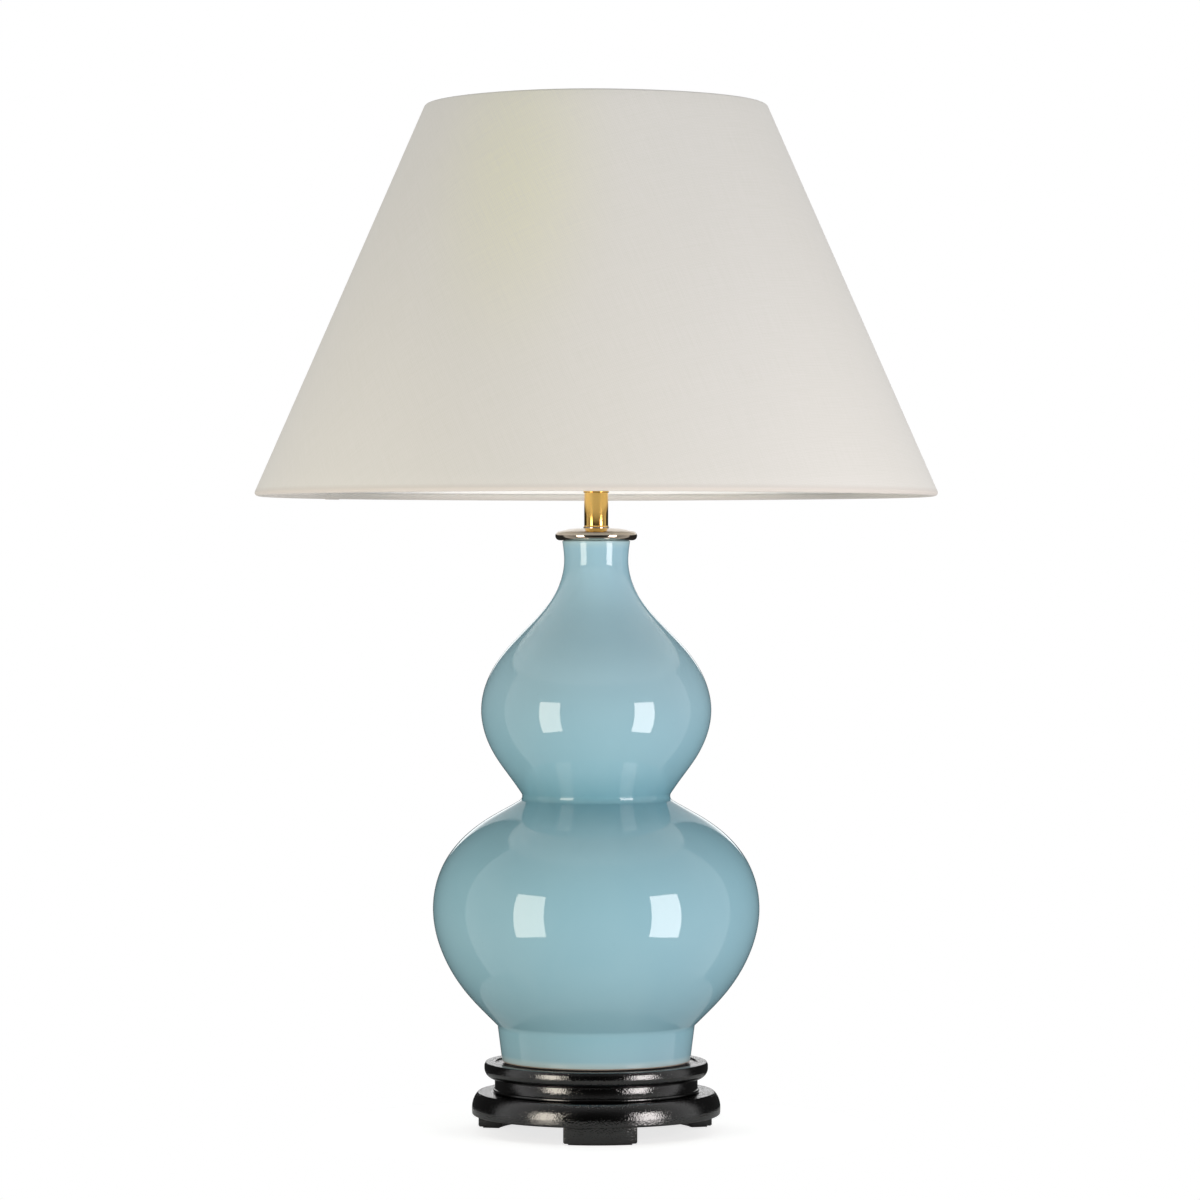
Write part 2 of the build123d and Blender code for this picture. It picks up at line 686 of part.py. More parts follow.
def near_rim(rim, outwards, inboard):
    """A point of the shade's section: square to its side, and along it from a rim's wire."""
    radius, height, way = rim
    along = way * inboard
    return (radius + outwards * cos(shade_lean) - along * sin(shade_lean),
            height + outwards * sin(shade_lean) + along * cos(shade_lean))


def hem_leaves(radius, outwards, inboard):
    """Where a straight hem that ends at the given place leaves its roll round the wire."""
    angle = atan2(inboard, outwards) + acos(radius / hypot(outwards, inboard))
    return radius * cos(angle), radius * sin(angle)


def rolled_hem(rim):
    """The edge of the cover rolled over a wire and turned back flat against the liner."""
    inner_roll = roll_radius - cover_thickness
    under_hem = inner_roll - liner_thickness
    over_hem = under_hem - cover_thickness
    outer_leave = hem_leaves(roll_radius, over_hem, hem_height)
    inner_leave = hem_leaves(inner_roll, under_hem, hem_height)
    ThreePointArc(near_rim(rim, roll_radius, 0), near_rim(rim, 0, -roll_radius),
                  near_rim(rim, *outer_leave))
    Polyline(near_rim(rim, *outer_leave), near_rim(rim, over_hem, hem_height),
             near_rim(rim, under_hem, hem_height), near_rim(rim, *inner_leave))
    ThreePointArc(near_rim(rim, *inner_leave), near_rim(rim, 0, -inner_roll),
                  near_rim(rim, inner_roll, 0))


def arm_rod(radius):
    """One arm of the fitter along +X, from the fitter's lip to the upper wire, as a round rod."""
    arm_z = seat_z - fitter_lip_depth / 2
    with BuildPart() as rod:
        with BuildLine(Plane.XZ) as path:
            FilletPolyline((fitter_radius - fitter_thickness / 2, arm_z),
                           (fitter_radius + arm_flat_run, arm_z), (top_wire_circle, top_wire_z),
                           radius=arm_bend_radius)
        with BuildSketch(Plane.YZ.offset(fitter_radius - fitter_thickness / 2)):
            with Locations((0, arm_z)):
                Circle(radius)
        sweep(path=path.line)
    return rod.part


fitter_lip_bore = seat_ring_radius + fitter_lip_gap
fitter_radius = fitter_lip_bore + fitter_thickness
one_arm = arm_rod(arm_radius)
one_arm_notch = arm_rod(arm_radius + turn_gap)

with BuildPart() as shade_fitter_ring:
    with BuildSketch(Plane.XZ):
        with BuildLine():
            Polyline((fitter_bore_radius, seat_z), (fitter_lip_bore, seat_z),
                     (fitter_lip_bore, seat_z - fitter_lip_depth),
                     (fitter_radius, seat_z - fitter_lip_depth),
                     (fitter_radius, seat_z + fitter_thickness),
                     (fitter_bore_radius, seat_z + fitter_thickness),
                     (fitter_bore_radius, seat_z))
        make_face()
    revolve(axis=Axis.Z)
shade_fitter_ring.part.label = "shade_fitter_ring"
export_step(shade_fitter_ring.part, "parts/shade_fitter_ring.step")

with BuildPart() as shade_top_ring:
    with Locations((0, 0, top_wire_z)):
        Torus(top_wire_circle, shade_wire_radius)
shade_top_ring.part.label = "shade_top_ring"
export_step(shade_top_ring.part, "parts/shade_top_ring.step")

with BuildPart() as shade_bottom_ring:
    with Locations((0, 0, bottom_wire_z)):
        Torus(bottom_wire_circle, shade_wire_radius)
shade_bottom_ring.part.label = "shade_bottom_ring"
export_step(shade_bottom_ring.part, "parts/shade_bottom_ring.step")

with BuildPart() as spider_arms:
    with PolarLocations(0, arm_count, start_angle=90):
        add(one_arm)
    add(shade_fitter_ring.part, mode=Mode.SUBTRACT)
    add(shade_top_ring.part, mode=Mode.SUBTRACT)
spider_arms.part.label = "spider_arms"
export_step(spider_arms.part, "parts/spider_arms.step")

with BuildPart() as shade_cover:
    with BuildSketch(Plane.XZ):
        with BuildLine():
            Line(near_rim(bottom_rim, roll_radius, 0), near_rim(top_rim, roll_radius, 0))
            rolled_hem(top_rim)
            Line(near_rim(top_rim, roll_radius - cover_thickness, 0),
                 near_rim(bottom_rim, roll_radius - cover_thickness, 0))
            rolled_hem(bottom_rim)
        make_face()
    revolve(axis=Axis.Z)
    with PolarLocations(0, arm_count, start_angle=90):
        add(one_arm_notch, mode=Mode.SUBTRACT)
shade_cover.part.label = "shade_cover"
export_step(shade_cover.part, "parts/shade_cover.step")

with BuildPart() as shade_liner:
    liner_outside = roll_radius - cover_thickness
    liner_inside = liner_outside - liner_thickness
    with BuildSketch(Plane.XZ):
        with BuildLine():
            Polyline(near_rim(bottom_rim, liner_outside, shade_wire_radius),
                     near_rim(top_rim, liner_outside, shade_wire_radius),
                     near_rim(top_rim, liner_inside, shade_wire_radius),
                     near_rim(bottom_rim, liner_inside, shade_wire_radius),
                     near_rim(bottom_rim, liner_outside, shade_wire_radius))
        make_face()
    revolve(axis=Axis.Z)
    with PolarLocations(0, arm_count, start_angle=90):
        add(one_arm_notch, mode=Mode.SUBTRACT)
shade_liner.part.label = "shade_liner"
export_step(shade_liner.part, "parts/shade_liner.step")


# ================================================================ bulb
cap_top_edge_z = bulb_z + bulb_cap_height
globe_z = bulb_z + bulb_length - bulb_radius


def bulb_outline(inset):
    """Half the outline of the glass, from its neck to its crown, set in by the given wall."""
    turn = radians(bulb_shoulder_angle)
    globe = bulb_radius - inset
    shoulder = (globe * cos(turn), globe_z - globe * sin(turn))
    neck = Spline((bulb_neck_radius - inset, cap_top_edge_z), shoulder,
                  tangents=[(0, 1), (sin(turn), cos(turn))])
    crown = CenterArc((0, globe_z), globe, -bulb_shoulder_angle, 90 + bulb_shoulder_angle)
    return neck, crown


with BuildPart() as bulb_glass:
    with BuildSketch(Plane.XZ):
        with BuildLine():
            neck, crown = bulb_outline(0)
            neck_in, crown_in = bulb_outline(bulb_glass_wall)
            Line(neck @ 0, neck_in @ 0)
            Line(crown @ 1, crown_in @ 1)
        make_face()
    revolve(axis=Axis.Z)
bulb_glass.part.label = "bulb_glass"
export_step(bulb_glass.part, "parts/bulb_glass.step")

with BuildPart() as bulb_cap:
    cap_bottom_z = bulb_z + bulb_cap_bottom
    barrel_z = cap_bottom_z + bulb_cap_shoulder
    with BuildSketch(Plane.XZ):
        with BuildLine():
            Polyline((bulb_insulator_radius, cap_bottom_z), (bulb_cap_radius, barrel_z),
                     (bulb_cap_radius, cap_top_edge_z),
                     (bulb_cap_radius - bulb_cap_wall, cap_top_edge_z),
                     (bulb_cap_radius - bulb_cap_wall, barrel_z + bulb_cap_wall),
                     (bulb_insulator_radius - bulb_cap_wall, cap_bottom_z + bulb_cap_wall),
                     (bulb_insulator_radius - bulb_cap_wall, cap_bottom_z),
                     (bulb_insulator_radius, cap_bottom_z))
        make_face()
    revolve(axis=Axis.Z)
bulb_cap.part.label = "bulb_cap"
export_step(bulb_cap.part, "parts/bulb_cap.step")

with BuildPart() as bulb_insulator:
    with BuildSketch(Plane.XZ):
        with BuildLine():
            Polyline((0, bulb_z + bulb_tip_height), (bulb_tip_radius, bulb_z + bulb_tip_height),
                     (bulb_insulator_radius, cap_bottom_z), (0, cap_bottom_z),
                     (0, bulb_z + bulb_tip_height))
        make_face()
    revolve(axis=Axis.Z)
bulb_insulator.part.label = "bulb_insulator"
export_step(bulb_insulator.part, "parts/bulb_insulator.step")

with BuildPart() as bulb_tip:
    with BuildSketch(Plane.XY.offset(bulb_z)):
        Circle(bulb_tip_radius)
    extrude(amount=bulb_tip_height)
    fillet(edges().group_by(Axis.Z)[0], radius=bulb_tip_height / 2)
bulb_tip.part.label = "bulb_tip"
export_step(bulb_tip.part, "parts/bulb_tip.step")
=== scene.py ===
"""A double gourd table lamp, dressed on its fixed CAD frame. Lengths are metres, +Z is up.

The sections follow the lamp as it is put together, from the felt under its feet to its bulb.
"""

from math import acos, atan2, cos, hypot, pi, radians, sin, tan

import bmesh
import bpy
import numpy as np
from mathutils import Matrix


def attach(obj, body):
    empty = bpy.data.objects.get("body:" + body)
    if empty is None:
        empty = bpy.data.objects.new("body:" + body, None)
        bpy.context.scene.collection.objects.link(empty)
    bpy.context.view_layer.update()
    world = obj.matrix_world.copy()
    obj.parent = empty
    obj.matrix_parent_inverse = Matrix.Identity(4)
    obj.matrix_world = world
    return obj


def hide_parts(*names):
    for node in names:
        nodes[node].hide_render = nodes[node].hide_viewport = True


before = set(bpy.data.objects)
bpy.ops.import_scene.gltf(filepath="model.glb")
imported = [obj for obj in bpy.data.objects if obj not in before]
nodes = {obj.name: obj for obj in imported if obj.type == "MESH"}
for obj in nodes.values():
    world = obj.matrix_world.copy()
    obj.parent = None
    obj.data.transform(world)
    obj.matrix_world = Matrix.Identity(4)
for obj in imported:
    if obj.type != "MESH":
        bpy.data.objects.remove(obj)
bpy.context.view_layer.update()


# ---------------------------------------------------------------- felt pads under the feet
# Black pressed wool felt, cut with a knife and glued under each foot. Its matted fibres give a
# soft, lightless black with a fuzzy face.

def colour(code):
    """An sRGB hex colour as the linear red, green, blue and alpha that sockets take."""
    parts = [int(code[i:i + 2], 16) / 255 for i in (1, 3, 5)]
    return (*[p / 12.92 if p <= 0.04045 else ((p + 0.055) / 1.055) ** 2.4 for p in parts], 1.0)


def add_node(tree, kind, sockets, **settings):
    """Adds a node with its settings. Each of its sockets is given a value, or a link."""
    node = tree.nodes.new(kind)
    for name, value in settings.items():
        setattr(node, name, value)
    for name, value in sockets.items():
        if isinstance(value, bpy.types.NodeSocket):
            tree.links.new(value, node.inputs[name])
        else:
            node.inputs[name].default_value = value
    return node


def new_finish(name, values):
    """A material, its node tree and its shader, with the shader's own sockets set."""
    finish = bpy.data.materials.new(name)
    finish.use_nodes = True
    shader = finish.node_tree.nodes["Principled BSDF"]
    for socket, value in values.items():
        shader.inputs[socket].default_value = value
    return finish, finish.node_tree, shader


def grained_finish(name, values, grain, detail, dark, light, gloss=None, relief=None, **noise):
    """A finish with a grain of the given size, in metres, that runs between two colours.

    The grain runs the roughness between the two values of gloss, and stands out of the
    surface by relief, a strength and a height in metres.
    """
    finish, tree, shader = new_finish(name, values)
    place = add_node(tree, "ShaderNodeTexCoord", {})
    grains = add_node(tree, "ShaderNodeTexNoise", {
        "Vector": place.outputs["Object"], "Scale": 1 / grain, "Detail": detail, **noise})
    tone = add_node(tree, "ShaderNodeMix", {
        0: grains.outputs["Fac"], 6: colour(dark), 7: colour(light)}, data_type="RGBA")
    tree.links.new(tone.outputs[2], shader.inputs["Base Color"])
    if gloss:
        dull = add_node(tree, "ShaderNodeMapRange", {
            "Value": grains.outputs["Fac"], "To Min": gloss[0], "To Max": gloss[1]})
        tree.links.new(dull.outputs[0], shader.inputs["Roughness"])
    if relief:
        bump = add_node(tree, "ShaderNodeBump", {
            "Height": grains.outputs["Fac"], "Strength": relief[0], "Distance": relief[1]})
        tree.links.new(bump.outputs["Normal"], shader.inputs["Normal"])
    return finish


def in_scene(name, data):
    """An object of that name in the scene, at the origin, for a mesh, a lamp or a camera."""
    thing = bpy.data.objects.new(name, data)
    bpy.context.scene.collection.objects.link(thing)
    return thing


def takes_place(piece, node, body):
    """The piece stands for a CAD node, which it hides, and rides on its body."""
    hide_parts(node)
    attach(piece, body)


def add_block(form, outline, low, high):
    """Adds to a form the upright block over a flat outline, between two heights."""
    face = form.faces.new([form.verts.new((x, y, low)) for x, y in outline])
    raised = bmesh.ops.extrude_face_region(form, geom=[face])
    bmesh.ops.translate(form, vec=(0, 0, high - low),
                        verts=[v for v in raised["geom"] if isinstance(v, bmesh.types.BMVert)])
    bmesh.ops.recalc_face_normals(form, faces=form.faces)


def round_edges(form, edges, radius, segments):
    """Rounds the given edges of a form."""
    bmesh.ops.bevel(form, geom=edges, offset=radius, segments=segments, profile=0.5,
                    affect="EDGES", clamp_overlap=True)


def smooth_faces(shape):
    """Shades every face of a mesh smooth."""
    shape.polygons.foreach_set("use_smooth", [True] * len(shape.polygons))


foot_angles = [radians(-90), radians(30), radians(150)]


def foot_outline(angle, inner, outer, width, count):
    """A foot seen from above: two rounds about the stand's axis, and sides that point to it."""
    spread = np.arcsin(width / 2 / outer)
    turns = np.linspace(-spread, spread, count)
    corners = [(outer * cos(a), outer * sin(a)) for a in turns]
    corners += [(inner * cos(a), inner * sin(a)) for a in turns[::-1]]
    return [(x * cos(angle) - y * sin(angle), x * sin(angle) + y * cos(angle))
            for x, y in corners]


# Fibres are about 0.03 mm thick, and are drawn as tufts of 0.5 mm.
felt = grained_finish("pressed_wool_felt", {
    "Roughness": 0.95, "Sheen Weight": 0.35, "Sheen Roughness": 0.5}, grain=0.0005, detail=3.0,
    dark="#101011", light="#2A2A2C", relief=(0.8, 0.0003), Roughness=0.7)

# The knife leaves upright sides, and the felt's long edges soften to a quarter of its height.
felt_high = 0.001
form = bmesh.new()
for angle in foot_angles:
    add_block(form, foot_outline(angle, inner=0.0730, outer=0.0850, width=0.0458, count=18),
              0.0, felt_high)
long_way = [e for e in form.edges if abs(e.verts[0].co.z - e.verts[1].co.z) < 1e-7]
round_edges(form, long_way, 0.25 * felt_high, 3)
pads = bpy.data.meshes.new("felt_under_feet")
form.to_mesh(pads)
form.free()
pads.materials.append(felt)
smooth_faces(pads)
takes_place(in_scene("felt_under_feet", pads), "foot_pads", "base")


# ---------------------------------------------------------------- lacquered stand
# Three turned pieces of hardwood, stacked and glued: a footed plate, a waist and a dished ring.
# Sprayed black lacquer gives them wet-looking edges and a fine orange peel over the wood's pores.

def rounded(corners, closed=True):
    """Points of a section, in metres, from corners (radius, height, rounding) in millimetres.

    Points set close beside each rounding keep the flats flat under smooth shading.
    """
    points = []
    count = len(corners)
    for i, (x, y, rounding) in enumerate(corners):
        at = np.array((x, y))
        ends = not closed and i in (0, count - 1)
        before = np.array(corners[i - 1][:2]) - at
        after = np.array(corners[(i + 1) % count][:2]) - at
        if ends or rounding == 0:
            points.append(at)
            continue
        back, on = before / hypot(*before), after / hypot(*after)
        half_turn = (pi - acos(max(-1.0, min(1.0, float(back @ on))))) / 2
        reach = rounding * tan(half_turn)
        beside = min(0.25, 0.3 * hypot(*before), 0.3 * hypot(*after))
        points.append(at + back * (reach + beside))
        centre = at + (back + on) / hypot(*(back + on)) * rounding / cos(half_turn)
        first, last = at + back * reach - centre, at + on * reach - centre
        start = atan2(first[1], first[0])
        sweep = (atan2(last[1], last[0]) - start + pi) % (2 * pi) - pi
        for share in np.linspace(0, 1, 6):
            turn = start + sweep * share
            points.append(centre + rounding * np.array((cos(turn), sin(turn))))
        points.append(at + on * (reach + beside))
    return [tuple(p / 1000) for p in points]


def arc_points(centre, across, up, start, end, count):
    """Points of an elliptic arc in a section, in metres, from sizes in millimetres."""
    turns = np.radians(np.linspace(start, end, count))
    return [((centre[0] + across * cos(t)) / 1000, (centre[1] + up * sin(t)) / 1000)
            for t in turns]


def begin_maker(name, numbers):
    """A node tree that makes a mesh, and its inputs: a shape, numbers by name, and a finish."""
    tree = bpy.data.node_groups.new(name, "GeometryNodeTree")
    tree.interface.new_socket("Geometry", in_out="INPUT", socket_type="NodeSocketGeometry")
    for label, value in numbers.items():
        kind = "NodeSocketInt" if isinstance(value, int) else "NodeSocketFloat"
        socket = tree.interface.new_socket(label, in_out="INPUT", socket_type=kind)
        socket.default_value = value
    tree.interface.new_socket("Finish", in_out="INPUT", socket_type="NodeSocketMaterial")
    tree.interface.new_socket("Geometry", in_out="OUTPUT", socket_type="NodeSocketGeometry")
    return tree, tree.nodes.new("NodeGroupInput").outputs


def end_maker(tree, made, finish):
    """Ends a tree: what it made becomes one real mesh that wears the finish."""
    real = add_node(tree, "GeometryNodeRealizeInstances", {"Geometry": made})
    painted = add_node(tree, "GeometryNodeSetMaterial", {
        "Geometry": real.outputs[0], "Material": finish})
    tree.links.new(painted.outputs[0], tree.nodes.new("NodeGroupOutput").inputs[0])
    return tree


def turning_nodes():
    """Nodes that turn a section about the Z axis, with a screw thread where one is asked for.

    The section is a row of points in the XZ plane. The thread sinks by its depth between its
    two heights, and fades in and out over half a pitch.
    """
    tree, into = begin_maker("turning", {
        "Steps": 128, "Thread Depth": 0.0, "Thread Pitch": 0.001, "Thread Low": 0.0,
        "Thread High": 1.0})
    size = add_node(tree, "GeometryNodeAttributeDomainSize", {"Geometry": into["Geometry"]})
    rows = size.outputs["Point Count"]
    columns = add_node(tree, "ShaderNodeMath", {0: into["Steps"], 1: 1.0}, operation="ADD")
    grid = add_node(tree, "GeometryNodeMeshGrid", {
        "Vertices X": columns.outputs[0], "Vertices Y": rows})
    index = tree.nodes.new("GeometryNodeInputIndex").outputs[0]
    row = add_node(tree, "ShaderNodeMath", {0: index, 1: rows}, operation="MODULO")
    column = add_node(tree, "ShaderNodeMath", {0: index, 1: rows}, operation="DIVIDE")
    column = add_node(tree, "ShaderNodeMath", {0: column.outputs[0]}, operation="FLOOR")
    share = add_node(tree, "ShaderNodeMath", {0: column.outputs[0], 1: into["Steps"]},
                     operation="DIVIDE")
    turn = add_node(tree, "ShaderNodeMath", {0: share.outputs[0], 1: 2 * pi}, operation="MULTIPLY")
    point = tree.nodes.new("GeometryNodeInputPosition").outputs[0]
    sample = add_node(tree, "GeometryNodeSampleIndex", {
        "Geometry": into["Geometry"], "Value": point, "Index": row.outputs[0]},
        data_type="FLOAT_VECTOR")
    section = add_node(tree, "ShaderNodeSeparateXYZ", {"Vector": sample.outputs["Value"]})
    pitches = add_node(tree, "ShaderNodeMath", {0: section.outputs["Z"], 1: into["Thread Pitch"]},
                       operation="DIVIDE")
    phase = add_node(tree, "ShaderNodeMath", {0: pitches.outputs[0], 1: share.outputs[0]},
                     operation="SUBTRACT")
    phase = add_node(tree, "ShaderNodeMath", {0: phase.outputs[0], 1: 2 * pi},
                     operation="MULTIPLY")
    wave = add_node(tree, "ShaderNodeMath", {0: phase.outputs[0]}, operation="COSINE")
    groove = add_node(tree, "ShaderNodeMapRange", {
        "Value": wave.outputs[0], "From Min": 1.0, "From Max": -1.0})
    above = add_node(tree, "ShaderNodeMath", {0: section.outputs["Z"], 1: into["Thread Low"]},
                     operation="SUBTRACT")
    below = add_node(tree, "ShaderNodeMath", {0: into["Thread High"], 1: section.outputs["Z"]},
                     operation="SUBTRACT")
    inside = add_node(tree, "ShaderNodeMath", {0: above.outputs[0], 1: below.outputs[0]},
                      operation="MINIMUM")
    fade = add_node(tree, "ShaderNodeMath", {0: inside.outputs[0], 1: into["Thread Pitch"]},
                    operation="DIVIDE")
    fade = add_node(tree, "ShaderNodeMath", {0: fade.outputs[0], 1: 2.0}, operation="MULTIPLY",
                    use_clamp=True)
    sunk = add_node(tree, "ShaderNodeMath", {0: groove.outputs[0], 1: fade.outputs[0]},
                    operation="MULTIPLY")
    sunk = add_node(tree, "ShaderNodeMath", {0: sunk.outputs[0], 1: into["Thread Depth"]},
                    operation="MULTIPLY")
    radius = add_node(tree, "ShaderNodeMath", {0: section.outputs["X"], 1: sunk.outputs[0]},
                      operation="SUBTRACT")
    east = add_node(tree, "ShaderNodeMath", {0: turn.outputs[0]}, operation="COSINE")
    north = add_node(tree, "ShaderNodeMath", {0: turn.outputs[0]}, operation="SINE")
    x = add_node(tree, "ShaderNodeMath", {0: radius.outputs[0], 1: east.outputs[0]},
                 operation="MULTIPLY")
    y = add_node(tree, "ShaderNodeMath", {0: radius.outputs[0], 1: north.outputs[0]},
                 operation="MULTIPLY")
    place = add_node(tree, "ShaderNodeCombineXYZ", {
        "X": x.outputs[0], "Y": y.outputs[0], "Z": section.outputs["Z"]})
    turned = add_node(tree, "GeometryNodeSetPosition", {
        "Geometry": grid.outputs["Mesh"], "Position": place.outputs[0]})
    closed = add_node(tree, "GeometryNodeMergeByDistance", {
        "Geometry": turned.outputs[0], "Distance": 1e-6})
    smooth = add_node(tree, "GeometryNodeSetShadeSmooth", {"Geometry": closed.outputs[0]})
    return end_maker(tree, smooth.outputs[0], into["Finish"])


turning = turning_nodes()


def turn_outwards(shape, weld=0.0):
    """Turns a closed mesh's faces outwards, after welding points closer together than weld.

    It also takes away the bare edge that a section's run along the axis leaves there.
    """
    form = bmesh.new()
    form.from_mesh(shape)
    if weld:
        bmesh.ops.remove_doubles(form, verts=form.verts, dist=weld)
    bare = [edge for edge in form.edges if edge.is_wire]
    bmesh.ops.delete(form, geom=bare, context="EDGES")
    bmesh.ops.recalc_face_normals(form, faces=form.faces)
    form.to_mesh(shape)
    form.free()


def made_by(name, tree, shape, inputs):
    """The plain mesh that a node tree makes from a shape, once its inputs are set by name."""
    piece = in_scene(name, shape)
    maker = piece.modifiers.new(tree.name, "NODES")
    maker.node_group = tree
    for item in tree.interface.items_tree:
        if item.in_out == "INPUT" and item.name in inputs:
            maker[item.identifier] = inputs[item.name]
    bpy.context.view_layer.update()
    depsgraph = bpy.context.evaluated_depsgraph_get()
    made = bpy.data.meshes.new_from_object(piece.evaluated_get(depsgraph))
    piece.modifiers.clear()
    piece.data = made
    made.materials.clear()
    made.materials.append(inputs["Finish"])
    turn_outwards(made)
    return piece


def by_label(values):
    """Values by the labels of a tree's inputs, such as Thread Depth for thread_depth."""
    return {key.replace("_", " ").title(): value for key, value in values.items()}


def turned(name, section, finish, steps=128, **thread):
    """A piece turned from the closed section through (radius, height) points, in metres."""
    shape = bpy.data.meshes.new(name)
    row = [*section, section[0]]
    shape.from_pydata([(r, 0, z) for r, z in row], [], [])
    return made_by(name, turning, shape, {"Steps": steps, "Finish": finish, **by_label(thread)})


lacquer, tree, shader = new_finish("sprayed_black_lacquer", {
    "IOR": 1.7, "Specular IOR Level": 0.8})
place = add_node(tree, "ShaderNodeTexCoord", {})
wear = add_node(tree, "ShaderNodeTexNoise", {
    "Vector": place.outputs["Object"], "Scale": 1 / 0.03, "Detail": 4.0})
black = add_node(tree, "ShaderNodeMix", {
    0: wear.outputs["Fac"], 6: colour("#030303"), 7: colour("#080808")}, data_type="RGBA")
# The orange peel's cells are about 1.2 mm across, and the pores of the wood 1.2 mm apart.
peel = add_node(tree, "ShaderNodeTexNoise", {
    "Vector": place.outputs["Object"], "Scale": 1 / 0.0012, "Detail": 1.5, "Roughness": 0.5})
pores = add_node(tree, "ShaderNodeTexVoronoi", {
    "Vector": place.outputs["Object"], "Scale": 1 / 0.0012}, feature="F1")
pits = add_node(tree, "ShaderNodeMapRange", {
    "Value": pores.outputs["Distance"], "From Min": 0.05, "From Max": 0.35})
sunk_pores = add_node(tree, "ShaderNodeBump", {
    "Height": pits.outputs[0], "Strength": 0.5, "Distance": 0.0001})
skin = add_node(tree, "ShaderNodeBump", {
    "Height": peel.outputs["Fac"], "Strength": 0.55, "Distance": 0.00028,
    "Normal": sunk_pores.outputs["Normal"]})
handled = add_node(tree, "ShaderNodeMapRange", {
    "Value": wear.outputs["Fac"], "From Min": 0.3, "From Max": 0.7, "To Min": 0.05,
    "To Max": 0.11})
tree.links.new(black.outputs[2], shader.inputs["Base Color"])
tree.links.new(handled.outputs[0], shader.inputs["Roughness"])
tree.links.new(skin.outputs["Normal"], shader.inputs["Normal"])

# The footed plate: a turned plate with an upright rim, and three block feet with eased edges.
plate_section = (
    [(0.0055, 0.0228), (0.0150, 0.0228), (0.0150, 0.0130)]
    + rounded([(15.0, 13.2, 0), (15.0, 12.8, 0.15), (90.5, 12.8, 1.2), (90.7, 17.6, 0)],
              closed=False)[1:]
)
nose_top, shoulder = np.array((0.0907, 0.0176)), np.array((0.0862, 0.0290))
reach = hypot(*(shoulder - nose_top))
# The rim rises straight up and rolls over to meet the plate's top at 45 degrees.
straight_up, rolled_over = np.array((0, 1)), np.array((-0.7071, 0.7071))
for share in np.linspace(0, 1, 18)[1:]:
    a, b = share * share * (3 - 2 * share), share * (1 - share)
    bend = nose_top * (1 - a) + shoulder * a
    bend += straight_up * reach * b * (1 - share)
    bend -= rolled_over * reach * b * share
    plate_section.append(tuple(bend))
plate_section += [(0.0855, 0.0290), (0.0060, 0.0290), (0.0055, 0.0290)]
plate = turned("stand_plate", plate_section, lacquer, steps=160)
foot_low, foot_high = felt_high, 0.0146
form = bmesh.new()
form.from_mesh(plate.data)
for angle in foot_angles:
    foot = bmesh.new()
    add_block(foot, foot_outline(angle, inner=0.0702, outer=0.0880, width=0.0536, count=24),
              foot_low, foot_high)
    lower = [e for e in foot.edges if max(v.co.z for v in e.verts) < foot_low + 0.0001]
    upright = [e for e in foot.edges if abs(e.verts[0].co.z - e.verts[1].co.z) > 0.01
               and e.calc_face_angle() > 0.6]
    round_edges(foot, lower + upright, 0.0014, 5)
    block = bpy.data.meshes.new("foot")
    foot.to_mesh(block)
    foot.free()
    form.from_mesh(block)
form.to_mesh(plate.data)
form.free()
smooth_faces(plate.data)
plate.data.set_sharp_from_angle(angle=radians(40))
takes_place(plate, "plinth_base", "base")

waist_section = (
    rounded([(5.5, 29.0, 0), (73.7, 29.0, 0)], closed=False)
    + arc_points((73.7, 30.3), 1.5, 1.3, -80, 70, 9)
    + rounded([(74.0, 31.6, 0), (74.0, 39.0, 0.1), (5.5, 39.0, 0)], closed=False)
)
takes_place(turned("stand_waist", waist_section, lacquer, steps=160),
            "plinth_waist", "base")

ring_section = (
    rounded([(5.5, 50.0, 0), (5.5, 39.0, 0.1), (74.0, 39.0, 0)], closed=False)
    + arc_points((74.1, 46.5), 7.5, 7.5, -90, 0, 18)[1:]
    + rounded([(81.6, 46.7, 0), (81.6, 48.7, 0.8), (80.6, 51.0, 0.9), (73.5, 51.0, 0.35),
               (73.5, 50.0, 0.2), (5.5, 50.0, 0)], closed=False)
)
takes_place(turned("stand_ring", ring_section, lacquer, steps=160),
            "plinth_top_ring", "base")


# ---------------------------------------------------------------- felt seat of the vase
# A disc of the same felt, laid loose in the dish so that clay and lacquer don't grind together.
seat_section = rounded([(5.6, 50.0, 0), (66.1, 50.0, 0.3), (66.1, 51.5, 0.4), (5.6, 51.5, 0.3)])
takes_place(turned("felt_in_dish", seat_section, felt),
            "vase_seat_pad", "base")
